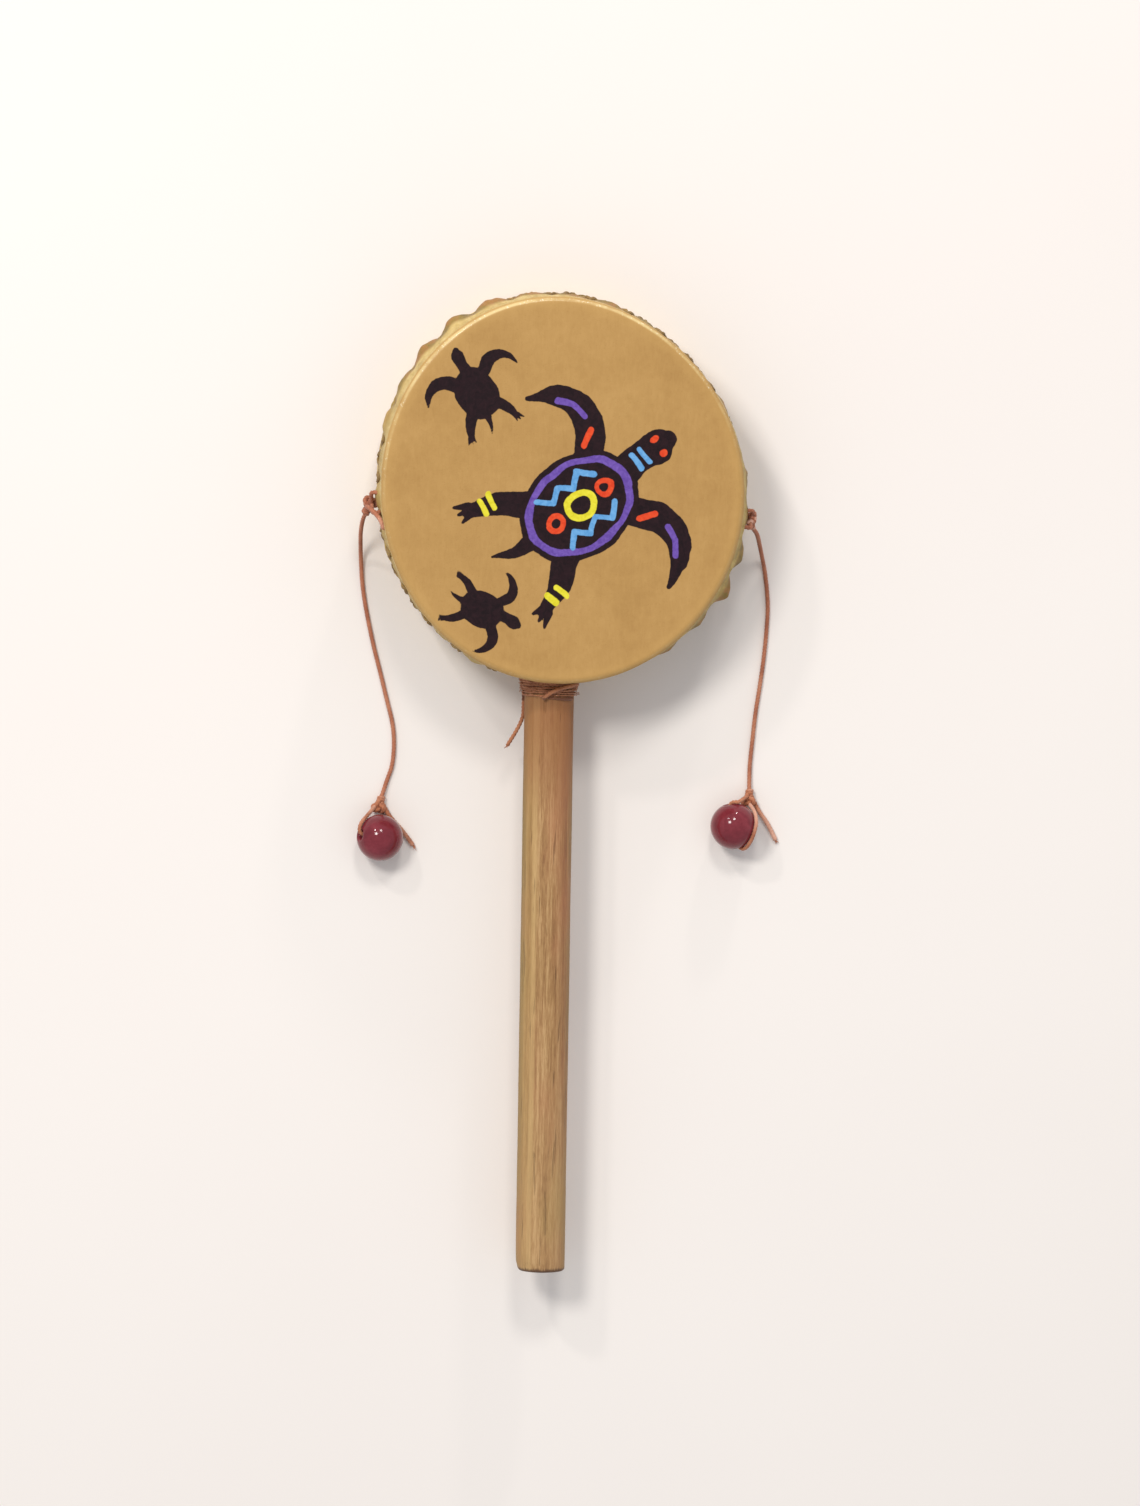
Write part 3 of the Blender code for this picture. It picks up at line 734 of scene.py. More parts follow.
def bead_knot(side):
    """The knot above the bead, its tail, and the loop through the bead."""
    centre = bead_knot_centre(side)
    start = Vector(CORD_ROUTES[side][-1])
    tail = [centre + Vector(p) for p in BEAD_TAILS[side]]
    pieces = knot_and_neck("bead", centre, start, tail, BEAD_KNOT_FORM, BEAD_KNOT_NECK, UP)
    pieces.append(strand("bead_loop", loop_route(side), LOOP_RADIUS))
    pieces += frayed_end("bead_fray", tail, 10, 31 + len(side), 1.3)
    pale_end = (0.6, 0.9, LOOP_PALENESS[side], 0.38)
    finish = thread_finish(f"loop_thread_{side}", LOOP_TONES, 60.0, pale_end=pale_end)
    return finished(joined(f"bead_tie_{side}", pieces), finish, f"bead_knot_{side}")


# Beads


def bead_finish(side):
    gloss = {"Specular_IOR_Level": 0.22, "Coat_Weight": 0.22, "Coat_Roughness": 0.03}
    f = Finish(f"cranberry_lacquer_{side}", **gloss)
    cloud = f.noise(f.place(), 190.0, 3.0, 0.55, 0.8)
    fine = f.noise(f.place(), 1500.0, 2.0)
    pit = f.cells(f.place(), 520.0).between(0.0, 0.12, 1.0, 0.0)
    blend = cloud * 0.8 + fine * 0.2
    tone = f.ramp(blend, (0.3, (103, 34, 43)), (0.5, (119, 42, 51)), (0.72, (136, 54, 63)))
    tone = f.over(tone, pit * 0.25, 70, 18, 30)
    height = cloud * 0.7 + (1 - pit) * 0.3
    return f.give(tone, fine.between(0.3, 0.8, 0.06, 0.2), f.relief(height, 0.05, 0.35))


def bead(side):
    """A turned ball: its poles are opened into small rounded mouths and joined by the bore."""
    ball = {"segments": 64, "ring_count": 44, "radius": BEAD_RADIUS * MM}
    obj = begin(bpy.ops.mesh.primitive_uv_sphere_add, f"bead_ball_{side}", **ball)
    choose(obj, "VERT", lambda vertex: hypot(vertex.co.x, vertex.co.y) < MOUTH_RADIUS * MM)
    bpy.ops.mesh.delete(type="VERT")
    bpy.ops.mesh.select_all(action="DESELECT")
    bpy.ops.mesh.select_non_manifold()
    for narrower, deeper in ((0.93, 0.985), (0.86, 0.975), (0.9, 0.97), (0.97, 0.96)):
        bpy.ops.mesh.extrude_region_move()
        bpy.ops.transform.resize(value=(narrower, narrower, deeper))
    bpy.ops.mesh.bridge_edge_loops()
    face_outwards()
    turn = direction(BORE_ANGLES[side], BORE_TILTS[side]).to_track_quat("Z", "Y").to_matrix().to_4x4()
    obj.data.transform(Matrix.Translation(bead_centre(side) * MM) @ turn)
    return finished(obj, bead_finish(side), f"bead_{side}")


# Painting on the front hide


def capsule(p, a, b, ra, rb):
    """Signed distance to a rounded stroke from a to b whose half width goes from ra to rb."""
    a, b = np.array(a, float), np.array(b, float)
    along = b - a
    t = np.clip(((p - a) @ along) / (along @ along), 0, 1)
    return np.linalg.norm(p - a - t[:, None] * along, axis=1) - (ra + (rb - ra) * t)


def curved(*points):
    """The same stroke with its corners drawn as one sweep."""
    return [(x, y) for x, y, _ in smooth_route([(x, y, 0) for x, y in points], 2.0)]


def stroke(p, points, *widths):
    """A stroke through the points, whose half width passes through the widths."""
    shares = np.linspace(0, 1, len(points))
    widths = np.interp(shares, np.linspace(0, 1, len(widths)), widths)
    return union([capsule(p, a, b, wa, wb) for a, b, wa, wb in zip(points, points[1:], widths, widths[1:])])


def oval(p, centre, wide, tall):
    q = (p - np.array(centre)) / np.array((wide, tall))
    return (np.linalg.norm(q, axis=1) - 1) * min(wide, tall)


def ring(p, centre, wide, tall, half_width):
    return np.abs(oval(p, centre, wide, tall)) - half_width


def union(forms):
    return np.minimum.reduce(forms)


def turtle(p, centre, heading, size):
    """A turtle seen from above: its dark form, and the place of each point on it."""
    turn = radians(heading)
    away = (p - np.array(centre)) / size
    q = np.column_stack([away @ (cos(turn), sin(turn)), away @ (-sin(turn), cos(turn))])
    forms = [
        oval(q, (0, 0), 16.5, 12.8),
        stroke(q, ((12, 0), (19, 0.6), (25, 0.2)), 4.4, 3.6, 4.4),
        stroke(q, ((24, 0.2), (28.2, -0.2)), 4.4, 2.4),
        stroke(q, curved((-14, 0), (-20, 0.6), (-25.5, 3.0)), 2.6, 1.5, 0.3),
    ]
    for side in (q, q * (1, -1)):
        flipper = curved((9, 8), (14.5, 15), (15, 22), (11.5, 27), (6, 30))
        leg = curved((-10, 8), (-17, 13.5), (-23.5, 16))
        forms += [stroke(side, flipper, 3.6, 4.0, 3.6, 2.4, 0.6), stroke(side, leg, 3.6, 3.0, 1.6)]
        for toe in (-2.2, 0.0, 2.2):
            forms.append(stroke(side, ((-22.5, 16 + toe * 0.4), (-26, 17 + toe)), 1.2, 0.4))
    return union(forms) * size, q


def painting(points):
    """Signed distances to the painted forms at points of the face."""
    p = points + 0.28 * np.column_stack([ripple(points, 7.0, seed) for seed in (5, 6)])
    big, q = turtle(p, (4.0, -4.5), 38, 1.0)
    dark = [big, turtle(p, (-22.5, 24.0), 118, 0.42)[0], turtle(p, (-20.5, -31.0), -22, 0.36)[0]]
    blue = [stroke(q, ((x, 2.2), (x, -1.8)), 0.7) for x in (18.6, 21.0)]
    violet = [ring(q, (0, 0), 14.0, 10.6, 0.8)]
    yellow = [ring(q, (0.5, 0), 3.4, 3.0, 0.85)]
    orange = [ring(q, (x, 0), 1.9, 1.9, 0.7) for x in (8.2, -7.4)]
    for side in (q, q * (1, -1)):
        blue.append(stroke(side, [(-8.0 + 3.2 * i, 4.4 if i % 2 else 7.4) for i in range(6)], 0.75))
        violet.append(stroke(side, curved((15.0, 17.5), (14.4, 21.5), (12.0, 25.0)), 0.8))
        yellow += [stroke(side, ((x, 13.0), (x + 0.8, 16.4)), 0.75) for x in (-20.2, -17.4)]
        orange += [oval(side, (25.6, 2.0), 1.2, 0.9), stroke(side, ((10.4, 11.8), (14.2, 13.4)), 0.8)]
    layers = {"dark": dark, "blue": blue, "violet": violet, "yellow": yellow, "orange": orange}
    return {layer: union(forms) for layer, forms in layers.items()}


# Hides


def skirt_tone(f, spot, across, up, depth, pucker, cloud, streak):
    """Cream where the skirt is drawn tight; ochre to brown at its flaring edge, deepened by painted shade;
    painted light at the upper left; painted shade, olive at the right and between the puckers.
    """
    tone = f.ramp(streak, (0.28, (174, 146, 84)), (0.5, (200, 172, 106)), (0.72, (216, 192, 130)))
    olive = f.ramp(streak, (0.3, (108, 88, 26)), (0.5, (150, 124, 42)), (0.7, (178, 152, 66)))
    browns = (0.36, (84, 66, 26)), (0.46, (128, 102, 40)), (0.55, (148, 92, 44)), (0.64, (166, 132, 66))
    edge = f.ramp(streak * 0.5 + cloud * 0.5, *browns)
    lump = f.noise(spot, 95.0, 2.0, 0.5)
    # Painted shade with the hide's own brown: the flaring edge and the cut edge turn ochre to brown.
    flared_and_shaded = (depth + (streak - 0.5) * 2.5 + (lump - 0.5) * 7.0).between(5.4, 8.0)
    rim = (depth + (streak - 0.5) * 1.6).between(9.8, 11.2)
    # Painted shade: darker olive-brown between the puckers, near each stitch.
    hollow_shade = (1 - pucker).between(0.7, 1.0) * depth.between(6.5, 9.5)
    # Painted light: the flaring edge is paler towards the upper left.
    lit_leftward = across * -0.82 - up * 0.57
    # Painted shade: the skirt turns olive towards the right.
    shaded_rightward = across * 0.94 - up * 0.34
    edge = f.over(edge, lit_leftward.between(14.0, 34.0, 0.0, 0.75), 186, 160, 92)
    tone = f.mix(shaded_rightward.between(26.0, 42.0, 0.0, 0.6), tone, olive)
    tone = f.mix((flared_and_shaded * 0.82).most(rim * 0.9), tone, edge)
    return f.over(tone, hollow_shade * 0.55, 96, 80, 36)


def paint_over(f, spot, tone):
    """The tone under the painted forms, and the share that they cover."""
    uneven = (f.noise(spot, 900.0, 3.0, 0.6) - 0.5) * 0.34
    film = f.noise(f.place((1, 1, 1), (0, 0, 0.9)), 700.0, 3.0, 0.6, 0.8)
    masks = []
    for layer, (low, high) in PAINTS.items():
        mask = (f.value(f"paint_{layer}") + uneven).between(-0.12, 0.1, 1.0, 0.0)
        if layer != "dark":
            mask = mask * film.between(0.12, 0.3, 0.75, 1.0)
        tone = f.mix(mask, tone, f.ramp(film, (0.35, low), (0.7, high)))
        masks.append(mask)
    return tone, reduce(Wire.most, masks)


def hide_finish(name, painted):
    """Rawhide: tan on the face, worn pale and glossy where it folds over the hoop's edge, with a painted
    highlight and painted glints on the fold's upper side.
    """
    f = Finish(name, 0.5, Specular_IOR_Level=0.16, Coat_Roughness=0.16)
    spot = f.place()
    across, up = f.part(spot, 0) / MM, f.part(spot, 1) / MM
    depth, pucker, rimward = f.value("depth"), f.value("pucker"), f.value("rimward")
    cloud = f.noise(spot, 55.0, 4.0, 0.55, 0.4)
    mottle = f.noise(spot, 420.0, 4.0, 0.6, 0.3)
    grain = f.noise(spot, 2200.0, 3.0, 0.6)
    fibre = f.noise(f.place((1.0, 0.22, 1.0), (0, 0, 0.6)), 900.0, 3.0, 0.6, 1.2)
    streak = f.noise(f.place((1.0, 1.0, 0.35)), 380.0, 4.0, 0.65, 0.5)
    pore = f.cells(spot, 1300.0).between(0.05, 0.3, 1.0, 0.0)
    blend = cloud * 0.45 + mottle * 0.3 + fibre * 0.25
    tone = f.ramp(blend, (0.3, (166, 126, 71)), (0.5, (176, 136, 79)), (0.7, (185, 145, 87)))
    tone = f.over(tone, pore * 0.2, 158, 116, 60)
    side = (depth + (mottle - 0.5) * 0.7).between(0.5, 2.2)
    tone = f.mix(side, tone, skirt_tone(f, spot, across, up, depth, pucker, cloud, streak))
    fold = depth.between(0.03, 0.2) * depth.between(0.3, 0.9, 1.0, 0.0)
    # The fold is worn pale, and paler still on its upper side as a painted highlight.
    worn_and_highlit = fold * f.noise(spot, 150.0, 3.0, 0.6).between(0.35, 0.6, 0.3, 1.0)
    upper = (up - across * 0.2).between(0.0, 38.0, 0.12, 1.0)
    tone = f.over(tone, worn_and_highlit * upper * 0.8, 232, 212, 154)
    # Painted glints: near-white specks on the fold's upper side.
    painted_glint = f.noise(spot, 1500.0, 2.0, 0.5).between(0.62, 0.7) * fold * upper
    tone = f.over(tone, painted_glint * 0.8, 248, 240, 212)
    near = rimward.between(0.0, 2.6, 1.0, 0.0) * (1 - side)
    tone = f.over(tone, near * 0.2, 200, 160, 96)
    # One pale spot on the skirt's edge, at the upper left.
    ends = {0: spot, 1: (-0.0405, 0.0335, 0.0195)}
    pale_spot = f.node("ShaderNodeVectorMath", {"operation": "DISTANCE"}, ends, "Value")
    tone = f.over(tone, pale_spot.between(0.0007, 0.0016, 0.9, 0.0), 238, 234, 222)
    rough = (mottle * 0.6 + grain * 0.4).between(0.25, 0.75, 0.46, 0.62) - worn_and_highlit * 0.2
    height = cloud * 0.3 + mottle * 0.3 + grain * 0.15 + fibre * 0.2 - pore * 0.12 + streak * side * 0.5
    gloss = (worn_and_highlit * upper * 0.6).most(0.05)
    if painted:
        tone, covered = paint_over(f, spot, tone)
        rough = rough - covered * 0.08
        height = height * (1 - covered * 0.55) + covered * 0.35
    return f.give(tone, rough, f.relief(height, 0.16, 0.8), gloss)


def skirt_depth(angle):
    """How deep the skirt's cut edge lies: it stops short where the handle's neck comes through."""
    aside = np.abs(outline_radius(angle) * np.cos(angle) - HANDLE_OFFSET)
    clear = MID_DEPTH - np.sqrt(np.maximum(NECK_RADIUS**2 - aside**2, 0.0))
    near = (np.sin(angle) < 0) & (aside < NECK_RADIUS)
    return np.where(near, np.minimum(clear - 0.1, SKIRT_DEPTH), SKIRT_DEPTH)


def ruffle(angle, first_stitch, flares, front):
    """How far the hide's edge stands out at this angle, and how far it rises, as a share of 1."""
    along = np.mod(angle - first_stitch, tau) / (tau / RUFFLES)
    rise = (0.5 - 0.5 * np.cos(tau * along)) ** 0.7
    flare = np.array(flares)[np.floor(along + 1e-6).astype(int) % RUFFLES]
    for centre, spread, further in BIG_RUFFLES if front else ():
        flare = flare + further * bump(angle, centre, spread)
    return np.maximum(flare, LEAST_FLARE), rise


def hide_section(kind, t, bottom):
    """Each vertex's depth under the face, offset from the outline and share of the way out."""
    bend, half = t * pi / 2, HIDE_THICKNESS / 2
    section = {
        "face": (0.0, -FOLD_RADIUS, t),
        "fold": (FOLD_RADIUS * (1 - np.cos(bend)), -FOLD_RADIUS + FOLD_RADIUS * np.sin(bend), 1.0),
        "skirt": (FOLD_RADIUS + (bottom - FOLD_RADIUS) * t, 0.0, 1.0),
        "edge": (bottom + half * 0.5 * np.sin(t * pi), -half + half * np.cos(t * pi), 1.0),
        "inner": (bottom + (HIDE_THICKNESS - bottom) * t, -HIDE_THICKNESS, 1.0),
        "inside": (HIDE_THICKNESS, -HIDE_THICKNESS, 1 - t),
    }
    chosen = [kind == name for name in section]
    return [np.select(chosen, values) for values in zip(*section.values())]


def hide(name, face_height, inward, first_stitch, seed, face_rows, fullness, unlike):
    """One hide, rolled from a flat sheet: face, fold, ruffled skirt, cut edge and the inside."""
    draw = random.Random(seed)
    flares = [RUFFLE_FLARE * (fullness + unlike * draw.uniform(-1, 1)) for _ in range(RUFFLES)]
    # Each stretch's steps, and its first and last row.
    stretches = {
        "face": (face_rows, 0, face_rows),
        "fold": (7, 1, 7),
        "skirt": (34, 1, 34),
        "edge": (5, 1, 4),
        "inner": (8, 0, 8),
        "inside": (6, 1, 6),
    }
    rows = []
    for stretch, (steps, first, end) in stretches.items():
        rows += [(stretch, i / steps) for i in range(first, end + 1)]
    obj, share, (kind, t) = sheet(name, 600, rows)
    angle = first_stitch + share * tau
    radius = outline_radius(angle)
    depth, offset, out = hide_section(kind, t, skirt_depth(angle))
    front = name == "painted_hide"
    flare, rise = ruffle(angle, first_stitch, flares, front)
    face, fold, skirt = kind == "face", kind == "fold", kind == "skirt"
    flat_parts = face | (kind == "inside")

    # Uneven lacing: a slow drift of each pucker's width and a few finer creases between stitches.
    creases = 0.5 + 0.5 * np.sin(angle * RUFFLES * 2 + 2.2 * np.sin(angle * 3 + seed) + seed)
    fine = ripple(on_circle(angle, RIM_PATTERN), 2.3, seed + 3)
    uneven_edge = ripple(on_circle(angle, RIM_PATTERN), 5.0, seed + 9) * 0.32
    # The ruffle grows from nothing half way down the skirt to its whole flare at the cut edge.
    grow = smooth_step(SKIRT_STRAIGHT - 1.0, SKIRT_DEPTH, np.minimum(depth, SKIRT_DEPTH)) ** 1.25
    grow = np.where(flat_parts | fold, 0.0, grow)
    offset += grow * (flare * rise * (0.86 + 0.14 * creases) + 0.14 * fine * rise)
    lifted = grow * grow * (rise * RUFFLE_RISE - uneven_edge * smooth_step(9.0, SKIRT_DEPTH, depth))
    if front:
        offset += np.where(flat_parts, 0.0, lean_out(angle) * smooth_step(0.4, 7.0, depth))
    # Drawn-in lines run up the skirt from every stitch, and soft cords of hide stand between them.
    from_stitch = np.mod(angle - first_stitch + HALF_STITCH, 2 * HALF_STITCH) - HALF_STITCH
    drawn = np.exp(-((from_stitch / 0.018) ** 2))
    offset -= np.where(skirt, 0.16 * drawn * smooth_step(3.0, 9.0, depth), 0.0)
    swell = ripple(on_circle(angle, RIM_PATTERN, depth * 0.6), 6.0, seed + 5)
    offset += np.where(skirt | fold, 0.10 * swell * smooth_step(0.0, 3.0, depth), 0.0)
    reach = (radius + offset) * out
    flat = on_circle(angle, reach)
    # The face is drawn tight, a hair lower inside its edge.
    from_edge = radius - FOLD_RADIUS - reach
    dip = np.maximum(0.04 + 0.04 * ripple(flat, 26.0, seed + 1) + 0.012 * ripple(flat, 6.0, seed + 2), 0)
    height = face_height + inward * (depth - lifted)
    height = np.where(face, height + inward * dip * smooth_step(0.0, 20.0, from_edge), height)
    move_to(obj, np.column_stack([flat, height]))
    attribute(obj, "depth", np.where(flat_parts, 0.0, depth))
    attribute(obj, "pucker", np.where(flat_parts, 1.0, rise))
    attribute(obj, "rimward", np.where(face, from_edge, 0.0))
    if front:
        for layer, distance in painting(flat).items():
            attribute(obj, f"paint_{layer}", np.where(face, distance, 5.0))
    weld(obj)
    return obj


def hides():
    """The painted hide in front, and behind it the plain one, half a stitch further round."""
    ruffled = {"seed": 7, "face_rows": 92, "fullness": 0.55, "unlike": 0.3}
    front = hide("painted_hide", DRUM_DEPTH, -1, FIRST_STITCH, **ruffled)
    finished(front, hide_finish("painted_rawhide", True), "front_head")
    flatter = {"seed": 8, "face_rows": 40, "fullness": 0.32, "unlike": 0.2}
    back = hide("plain_hide", 0.0, 1, FIRST_STITCH + HALF_STITCH, **flatter)
    finished(back, hide_finish("plain_rawhide", False), "back_head")


# Lacing


def thong_finish():
    f = Finish("rawhide_thong", 0.55, Specular_IOR_Level=0.45)
    patch = f.noise(f.place(), 240.0, 3.0)
    fibre = f.noise(f.wrap((4.0, 500.0, 1.0)), 3.0, 3.0, 0.6, 0.5)
    blend = patch * 0.55 + fibre * 0.45
    tone = f.ramp(blend, (0.3, (96, 70, 34)), (0.5, (138, 108, 58)), (0.72, (178, 148, 92)))
    return f.give(tone, fibre.between(0.3, 0.7, 0.45, 0.65), f.relief(fibre, 0.15, 0.8))


def lacing():
    """One thong in a zigzag over the hides' edges; at every stitch it dips into a hole."""
    # At a stitch: the turn along the rim, the offset from the outline and the distance from mid-depth.
    dip = ((-0.0165, 0.3, 3.9), (-0.0033, 0.05, 5.0), (0.0033, 0.05, 5.0), (0.0165, 0.3, 3.9))
    points = []
    for stitch in range(2 * RUFFLES):
        angle = FIRST_STITCH + stitch * HALF_STITCH
        if sin(angle) < 0 and abs(rim_point(angle, 0, 0).x - HANDLE_OFFSET) < NECK_RADIUS + 1.3:
            continue
        side = 1 if stitch % 2 == 0 else -1
        points.append(rim_point(angle - HALF_STITCH * 0.5, -0.25, MID_DEPTH + side * 0.2))
        points += [rim_point(angle + turn, offset, MID_DEPTH + side * far) for turn, offset, far in dip]
    thong = {"radius": THONG_RADIUS, "plies": 2, "pitch": 7.0, "sides": 12, "spacing": 0.4, "fill": 0.8}
    piece = strand("zigzag_lacing", points, **thong)
    finished(piece, thong_finish(), "rim_lacing")


# Wood


def hoop_finish():
    f = Finish("bent_hoop_wood", 0.6)
    grain = f.noise(f.place((1.0, 1.0, 7.0)), 120.0, 4.0, 0.6, 0.6)
    fine = f.noise(f.place((1.0, 1.0, 9.0)), 700.0, 3.0, 0.6)
    blend = grain * 0.6 + fine * 0.4
    tone = f.ramp(blend, (0.3, (122, 86, 48)), (0.5, (164, 126, 78)), (0.7, (196, 162, 112)))
    height = grain * 0.5 + fine * 0.5
    return f.give(tone, fine.between(0.3, 0.7, 0.5, 0.7), f.relief(height, 0.15, 0.7))


def hoop():
    """A bent strip with softened edges and a tapered lap where its ends meet, bored for the handle."""
    tube = {"vertices": 288, "radius": 1, "depth": 1, "end_fill_type": "NOTHING"}
    obj = begin(bpy.ops.mesh.primitive_cylinder_add, "bent_hoop", **tube)
    cut_lengthwise(obj, 1, 11)
    done_editing()
    gap = HIDE_THICKNESS + HOOP_CLEARANCE
    shape = places(obj)
    angle = np.arctan2(shape[:, 1], shape[:, 0])
    height = gap + (shape[:, 2] + 0.5) * (DRUM_DEPTH - 2 * gap)
    outer = outline_radius(angle) - gap
    # The lap, at the upper left, is a shallow step that a plane has faired off.
    lap = np.mod(angle - radians(148) - (height - MID_DEPTH) * 0.004, tau)
    outer -= 0.35 * np.exp(-lap / 0.22) * smooth_step(0.0, 0.012, lap)
    outer -= 0.05 * (1 + ripple(on_circle(angle, RIM_PATTERN, height), 9.0, 3))
    move_to(obj, on_circle(angle, outer, height))
    applied(obj, "SOLIDIFY", thickness=(HOOP_WALL - HOOP_CLEARANCE) * MM, offset=-1.0)
    editing(obj)
    face_outwards()
    applied(obj, "BEVEL", width=HOOP_EDGE * MM, segments=3, limit_method="ANGLE", angle_limit=radians(50))
    foot = Vector((HANDLE_OFFSET, -48, MID_DEPTH)) * MM
    bore = {"vertices": 96, "radius": (HANDLE_RADIUS + HANDLE_BORE_PLAY) * MM, "depth": 20 * MM}
    bore.update(location=foot, rotation=(pi / 2, 0, 0))
    drill = begin(bpy.ops.mesh.primitive_cylinder_add, "drill", **bore)
    applied(obj, "BOOLEAN", object=drill, operation="DIFFERENCE", solver="EXACT")
    bpy.data.objects.remove(drill)
    weld(obj, 1e-6)
    finished(obj, hoop_finish(), "hoop", sharp=35)


def handle_finish():
    """Dowel wood: yellow-tan on the left as painted light, with a painted highlight stripe, pinkish-brown
    patches on the right, and olive along both edges as painted shade.
    """
    f = Finish("dowel_wood", 0.52, Specular_IOR_Level=0.3)
    spot = f.place()
    wide = f.noise(f.place((1.0, 0.03, 1.0)), 330.0, 3.0, 0.5, 0.3)
    streak = f.noise(f.place((1.0, 0.035, 1.0)), 1300.0, 4.0, 0.7, 0.2)
    fleck = f.noise(f.place((1.0, 0.09, 1.0)), 3200.0, 3.0, 0.7)
    blot = f.noise(f.place((1.0, 0.3, 1.0)), 75.0, 3.0, 0.5)
    crack = f.noise(f.place((1.0, 0.055, 1.0)), 1100.0, 2.0, 0.5).between(0.3, 0.37, 1.0, 0.0)
    across = f.part(spot, 0) / MM - HANDLE_OFFSET
    down = f.part(spot, 1) / MM
    grain = wide.between(0.3, 0.7) * 0.3 + streak.between(0.32, 0.68) * 0.4 + fleck.between(0.3, 0.7) * 0.3
    browns = (0.18, (126, 88, 52)), (0.4, (152, 113, 70)), (0.58, (166, 127, 82)), (0.82, (188, 151, 104))
    tone = f.ramp(grain, *browns)
    # Painted light: the left side is yellow-tan.
    tone = f.over(tone, across.between(-6.0, -1.5, 0.5, 0.0), 184, 150, 94)
    tone = f.over(tone, across.between(0.0, 5.0, 0.0, 0.3), 158, 110, 76)
    # Painted shade: olive along both edges of the dowel, where it turns away from the light.
    tone = f.over(tone, across.size().between(4.9, 6.3, 0.0, 0.5), 126, 104, 54)
    tone = f.over(tone, blot.between(0.5, 0.7, 0.0, 0.45), 172, 112, 80)
    tone = f.over(tone, blot.between(0.5, 0.28, 0.0, 0.4), 150, 128, 70)
    # Painted highlight: a pale stripe down the left of the dowel.
    pale = (across + 3.4 + (wide - 0.5) * 1.5).size().between(0.4, 1.0, 0.4, 0.0)
    tone = f.over(tone, pale, 200, 166, 112)
    tone = f.over(tone, crack * 0.36, 92, 62, 36)
    # Near the binding the wood is handled dark, and painted shade darkens the foot along its rim.
    handled = (down + (wide - 0.5) * 22 + (streak - 0.5) * 16).between(-90.0, -56.0, 0.0, 0.72)
    tone = f.over(tone, handled, 146, 94, 54)
    tone = f.over(tone, down.between(-195.0, -120.0, 0.16, 0.0), 206, 168, 118)
    # Painted shade along the foot's rim, where it meets the floor, with a ragged edge.
    ragged_shade = (fleck - 0.5) * 1.4 + (streak - 0.5) * 1.2
    foot = (down + ragged_shade).between(HANDLE_FOOT + 0.4, HANDLE_FOOT + 1.3, 1.0, 0.0)
    tone = f.over(tone, foot * 0.85, 84, 58, 44)
    height = streak * 0.5 + fleck * 0.3 + wide * 0.2 - crack * 0.6
    return f.give(tone, fleck.between(0.3, 0.7, 0.48, 0.68), f.relief(height, 0.3, 0.9))


def handle():
    """The dowel: ringed along its length, eased at the foot, and a little uneven as it was shaved."""
    box_low, box_high = (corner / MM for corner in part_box("handle"))
    length = box_high.y - box_low.y
    rod = {"vertices": 96, "radius": HANDLE_RADIUS, "depth": length, "end_fill_type": "NGON"}
    obj = begin(bpy.ops.mesh.primitive_cylinder_add, "dowel_handle", **rod)
    cut_lengthwise(obj, length, 96)
    choose(obj, "FACE", is_end)
    bpy.ops.mesh.bevel(offset=FOOT_ROUNDING, segments=5, affect="EDGES", clamp_overlap=False)
    done_editing()
    choose(obj, "FACE", is_end)
    for step in (0.9, 1.1, 1.3, 1.3):
        bpy.ops.mesh.inset(thickness=step)
    done_editing()
    # The cylinder stands along Z, and is laid down with its foot towards -Y.
    shape = places(obj)
    x, y, z = shape[:, 0], shape[:, 2] + (box_low.y + box_high.y) / 2, -shape[:, 1]
    angle = np.arctan2(z, x)
    long_swells = 0.004 * ripple(on_circle(angle, HANDLE_PATTERN, y * 0.22), 5.0, 21)
    out = np.minimum(1 + long_swells + 0.003 * ripple(on_circle(angle, HANDLE_PATTERN, y), 9.0, 22), 1.004)
    worn_side = 0.5 + 0.5 * np.cos(angle - radians(160))
    out -= 0.10 * smooth_step(HANDLE_FOOT + 3.3, HANDLE_FOOT, y) * worn_side
    end_grain = (np.hypot(x, z) < HANDLE_RADIUS - 0.9) & (y < -150)
    y = np.where(end_grain, y + 0.10 * (1 + ripple(np.column_stack([x, z]), 2.5, 23)), y)
    move_to(obj, np.column_stack([HANDLE_OFFSET + x * out, y, MID_DEPTH + z * out]))
    weld(obj)
    finished(obj, handle_finish(), "handle", sharp=50)


def is_end(face):
    return len(face.vertices) > 4


# Neck binding


def round_handle(radius, turn, y):
    return Vector((HANDLE_OFFSET + radius * cos(turn), y, MID_DEPTH + radius * sin(turn)))


def binding_coil(steps=22 * BINDING_TURNS):
    """Fine turns in a cone, a little uneven, from the foot of the binding to the drum."""
    points = []
    for step in range(steps + 1):
        share = step / steps
        turn = tau * BINDING_TURNS * share + COIL_START
        uneven = 0.07 * sin(2.3 * turn + 1) + 0.05 * sin(0.61 * turn)
        radius = COIL_RADIUS + COIL_FLARE * share**0.8 + uneven
        y = COIL_FOOT + (BINDING_LENGTH - 1.4) * share + 0.14 * sin(turn + 0.6) + 0.1 * sin(1.7 * turn)
        points.append(round_handle(radius, turn, y))
    thread = {"radius": COIL_THREAD, "plies": 2, "pitch": 2.2, "sides": 14, "spacing": 0.36}
    return strand("binding_coil", points, **thread, taper=((0, 0.3, 0.7, 1), (0.4, 0.5, 1, 1)))


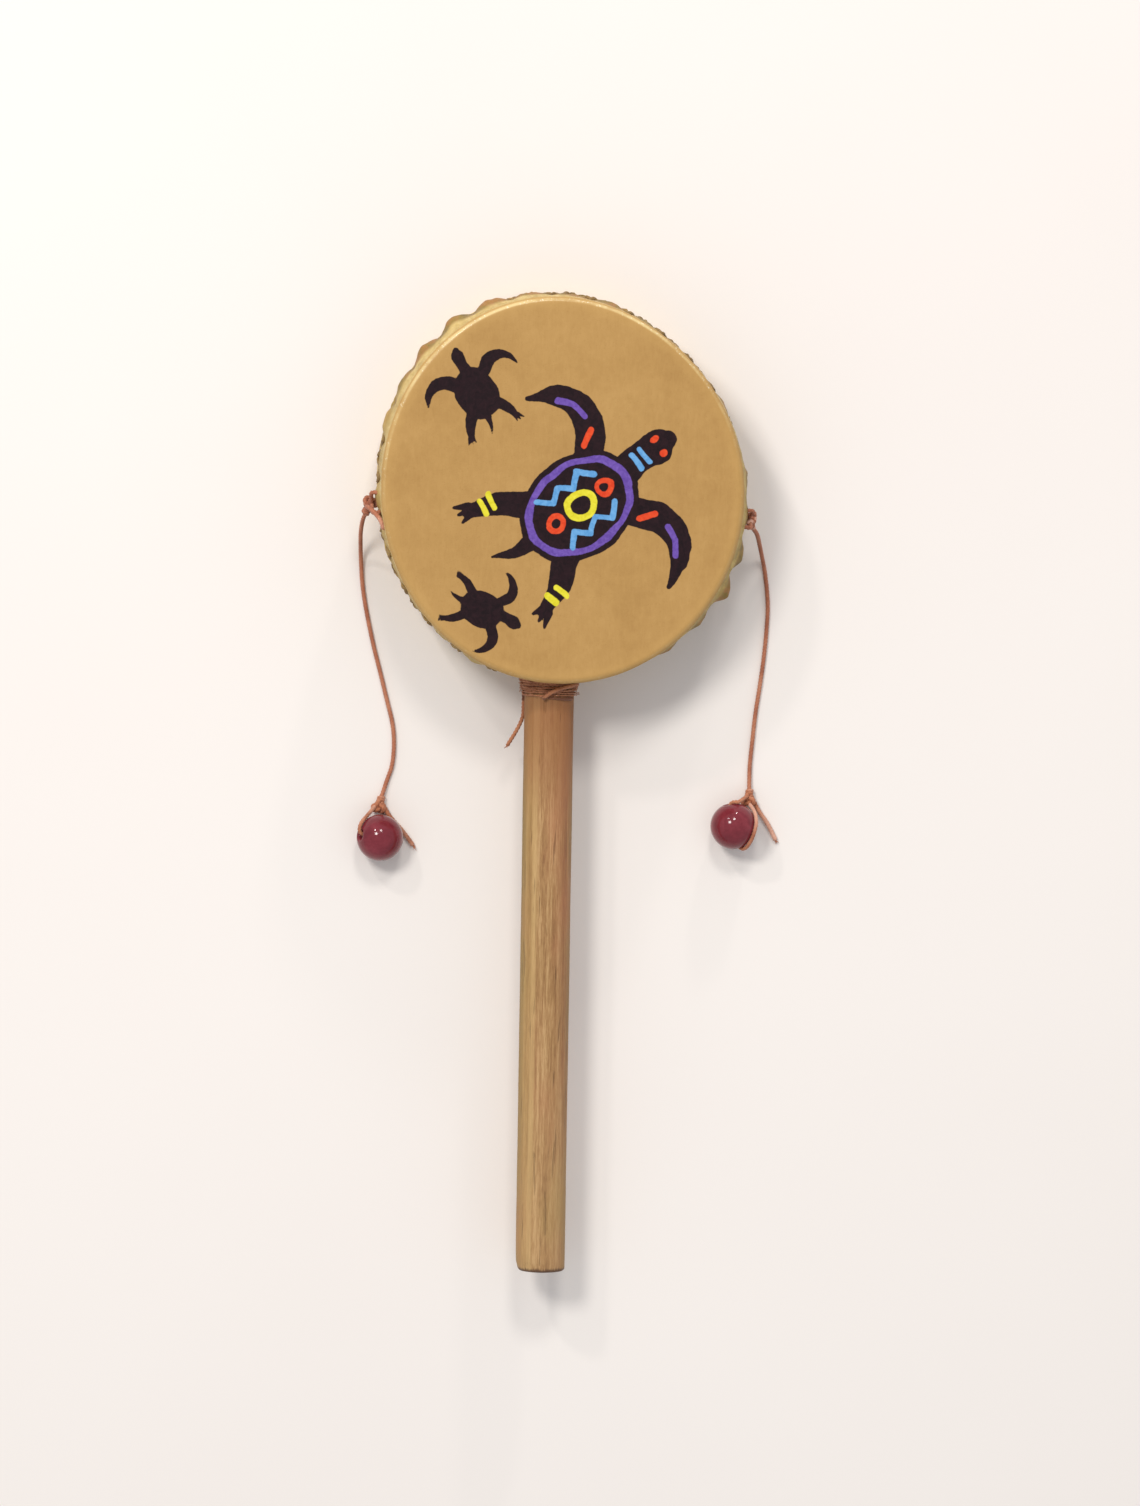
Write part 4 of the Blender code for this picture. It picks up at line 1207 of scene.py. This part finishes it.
def binding_hair(name, draw):
    """One loose fibre that stands off the turns."""
    start, y = draw.uniform(0.05, 0.95) * pi, BINDING_TOP - draw.uniform(0.8, BINDING_LENGTH - 1.6)
    turn = draw.uniform(0.06, 0.16) * draw.choice((-1, 1))
    radius = COIL_RADIUS + 0.24 + COIL_FLARE * (y - BINDING_TOP + BINDING_LENGTH) / BINDING_LENGTH
    lifts = (0.1, 0.45, draw.uniform(0.4, 0.8))
    hair = []
    for k, lift in enumerate(lifts):
        hair.append(round_handle(radius + lift, start + turn * k, y + draw.uniform(-0.25, 0.25) * k))
    return strand(name, hair, HAIR_THREAD, plies=0, sides=5, spacing=0.4)


def neck_binding():
    """The coil of waxed thread, a strand drawn across it, its tucked end and a loose straight tail."""
    top = Vector((HANDLE_OFFSET, BINDING_TOP, MID_DEPTH))
    crossing = [top + Vector(p) for p in BINDING_CROSSING]
    tail = [top + Vector(p) for p in BINDING_TAIL]
    turns = (2.0, 1.6, 1.2, 0.95, 0.75, 0.6)
    tuck = [round_handle(COIL_RADIUS + 0.16, turn, COIL_FOOT - 0.35 * sin(2 * turn)) for turn in turns]
    tuck_thread = {"radius": TUCK_THREAD, "plies": 2, "pitch": 2.2, "sides": 12}
    pieces = [
        binding_coil(),
        strand("binding_crossing", crossing, TAIL_THREAD, pitch=3.0),
        strand("binding_tail", tail, TAIL_THREAD, pitch=3.0),
        strand("binding_tuck", tuck, **tuck_thread, taper=((0, 0.7, 1), (0.5, 1, 1.5))),
    ]
    pieces += frayed_end("binding_fray", tail, 8, 51, 1.1)
    draw = random.Random(77)
    pieces += [binding_hair(f"binding_hair_{i}", draw) for i in range(BINDING_HAIRS)]
    finish = thread_finish("waxed_thread", BINDING_TONES, 240.0, 0.66, shaded_foot=(-55.3, -54.1, -53.6))
    finished(joined("neck_thread", pieces), finish, "neck_binding")


# The whole drum


camera()
studio()
for side in ("left", "right"):
    piece, path, length = cord(side)
    side_knot(side)
    tie = bead_knot(side)
    ball = bead(side)
    length * MM
    [[c * MM for c in p] for p in path]
hoop()
hides()
lacing()
handle()
neck_binding()
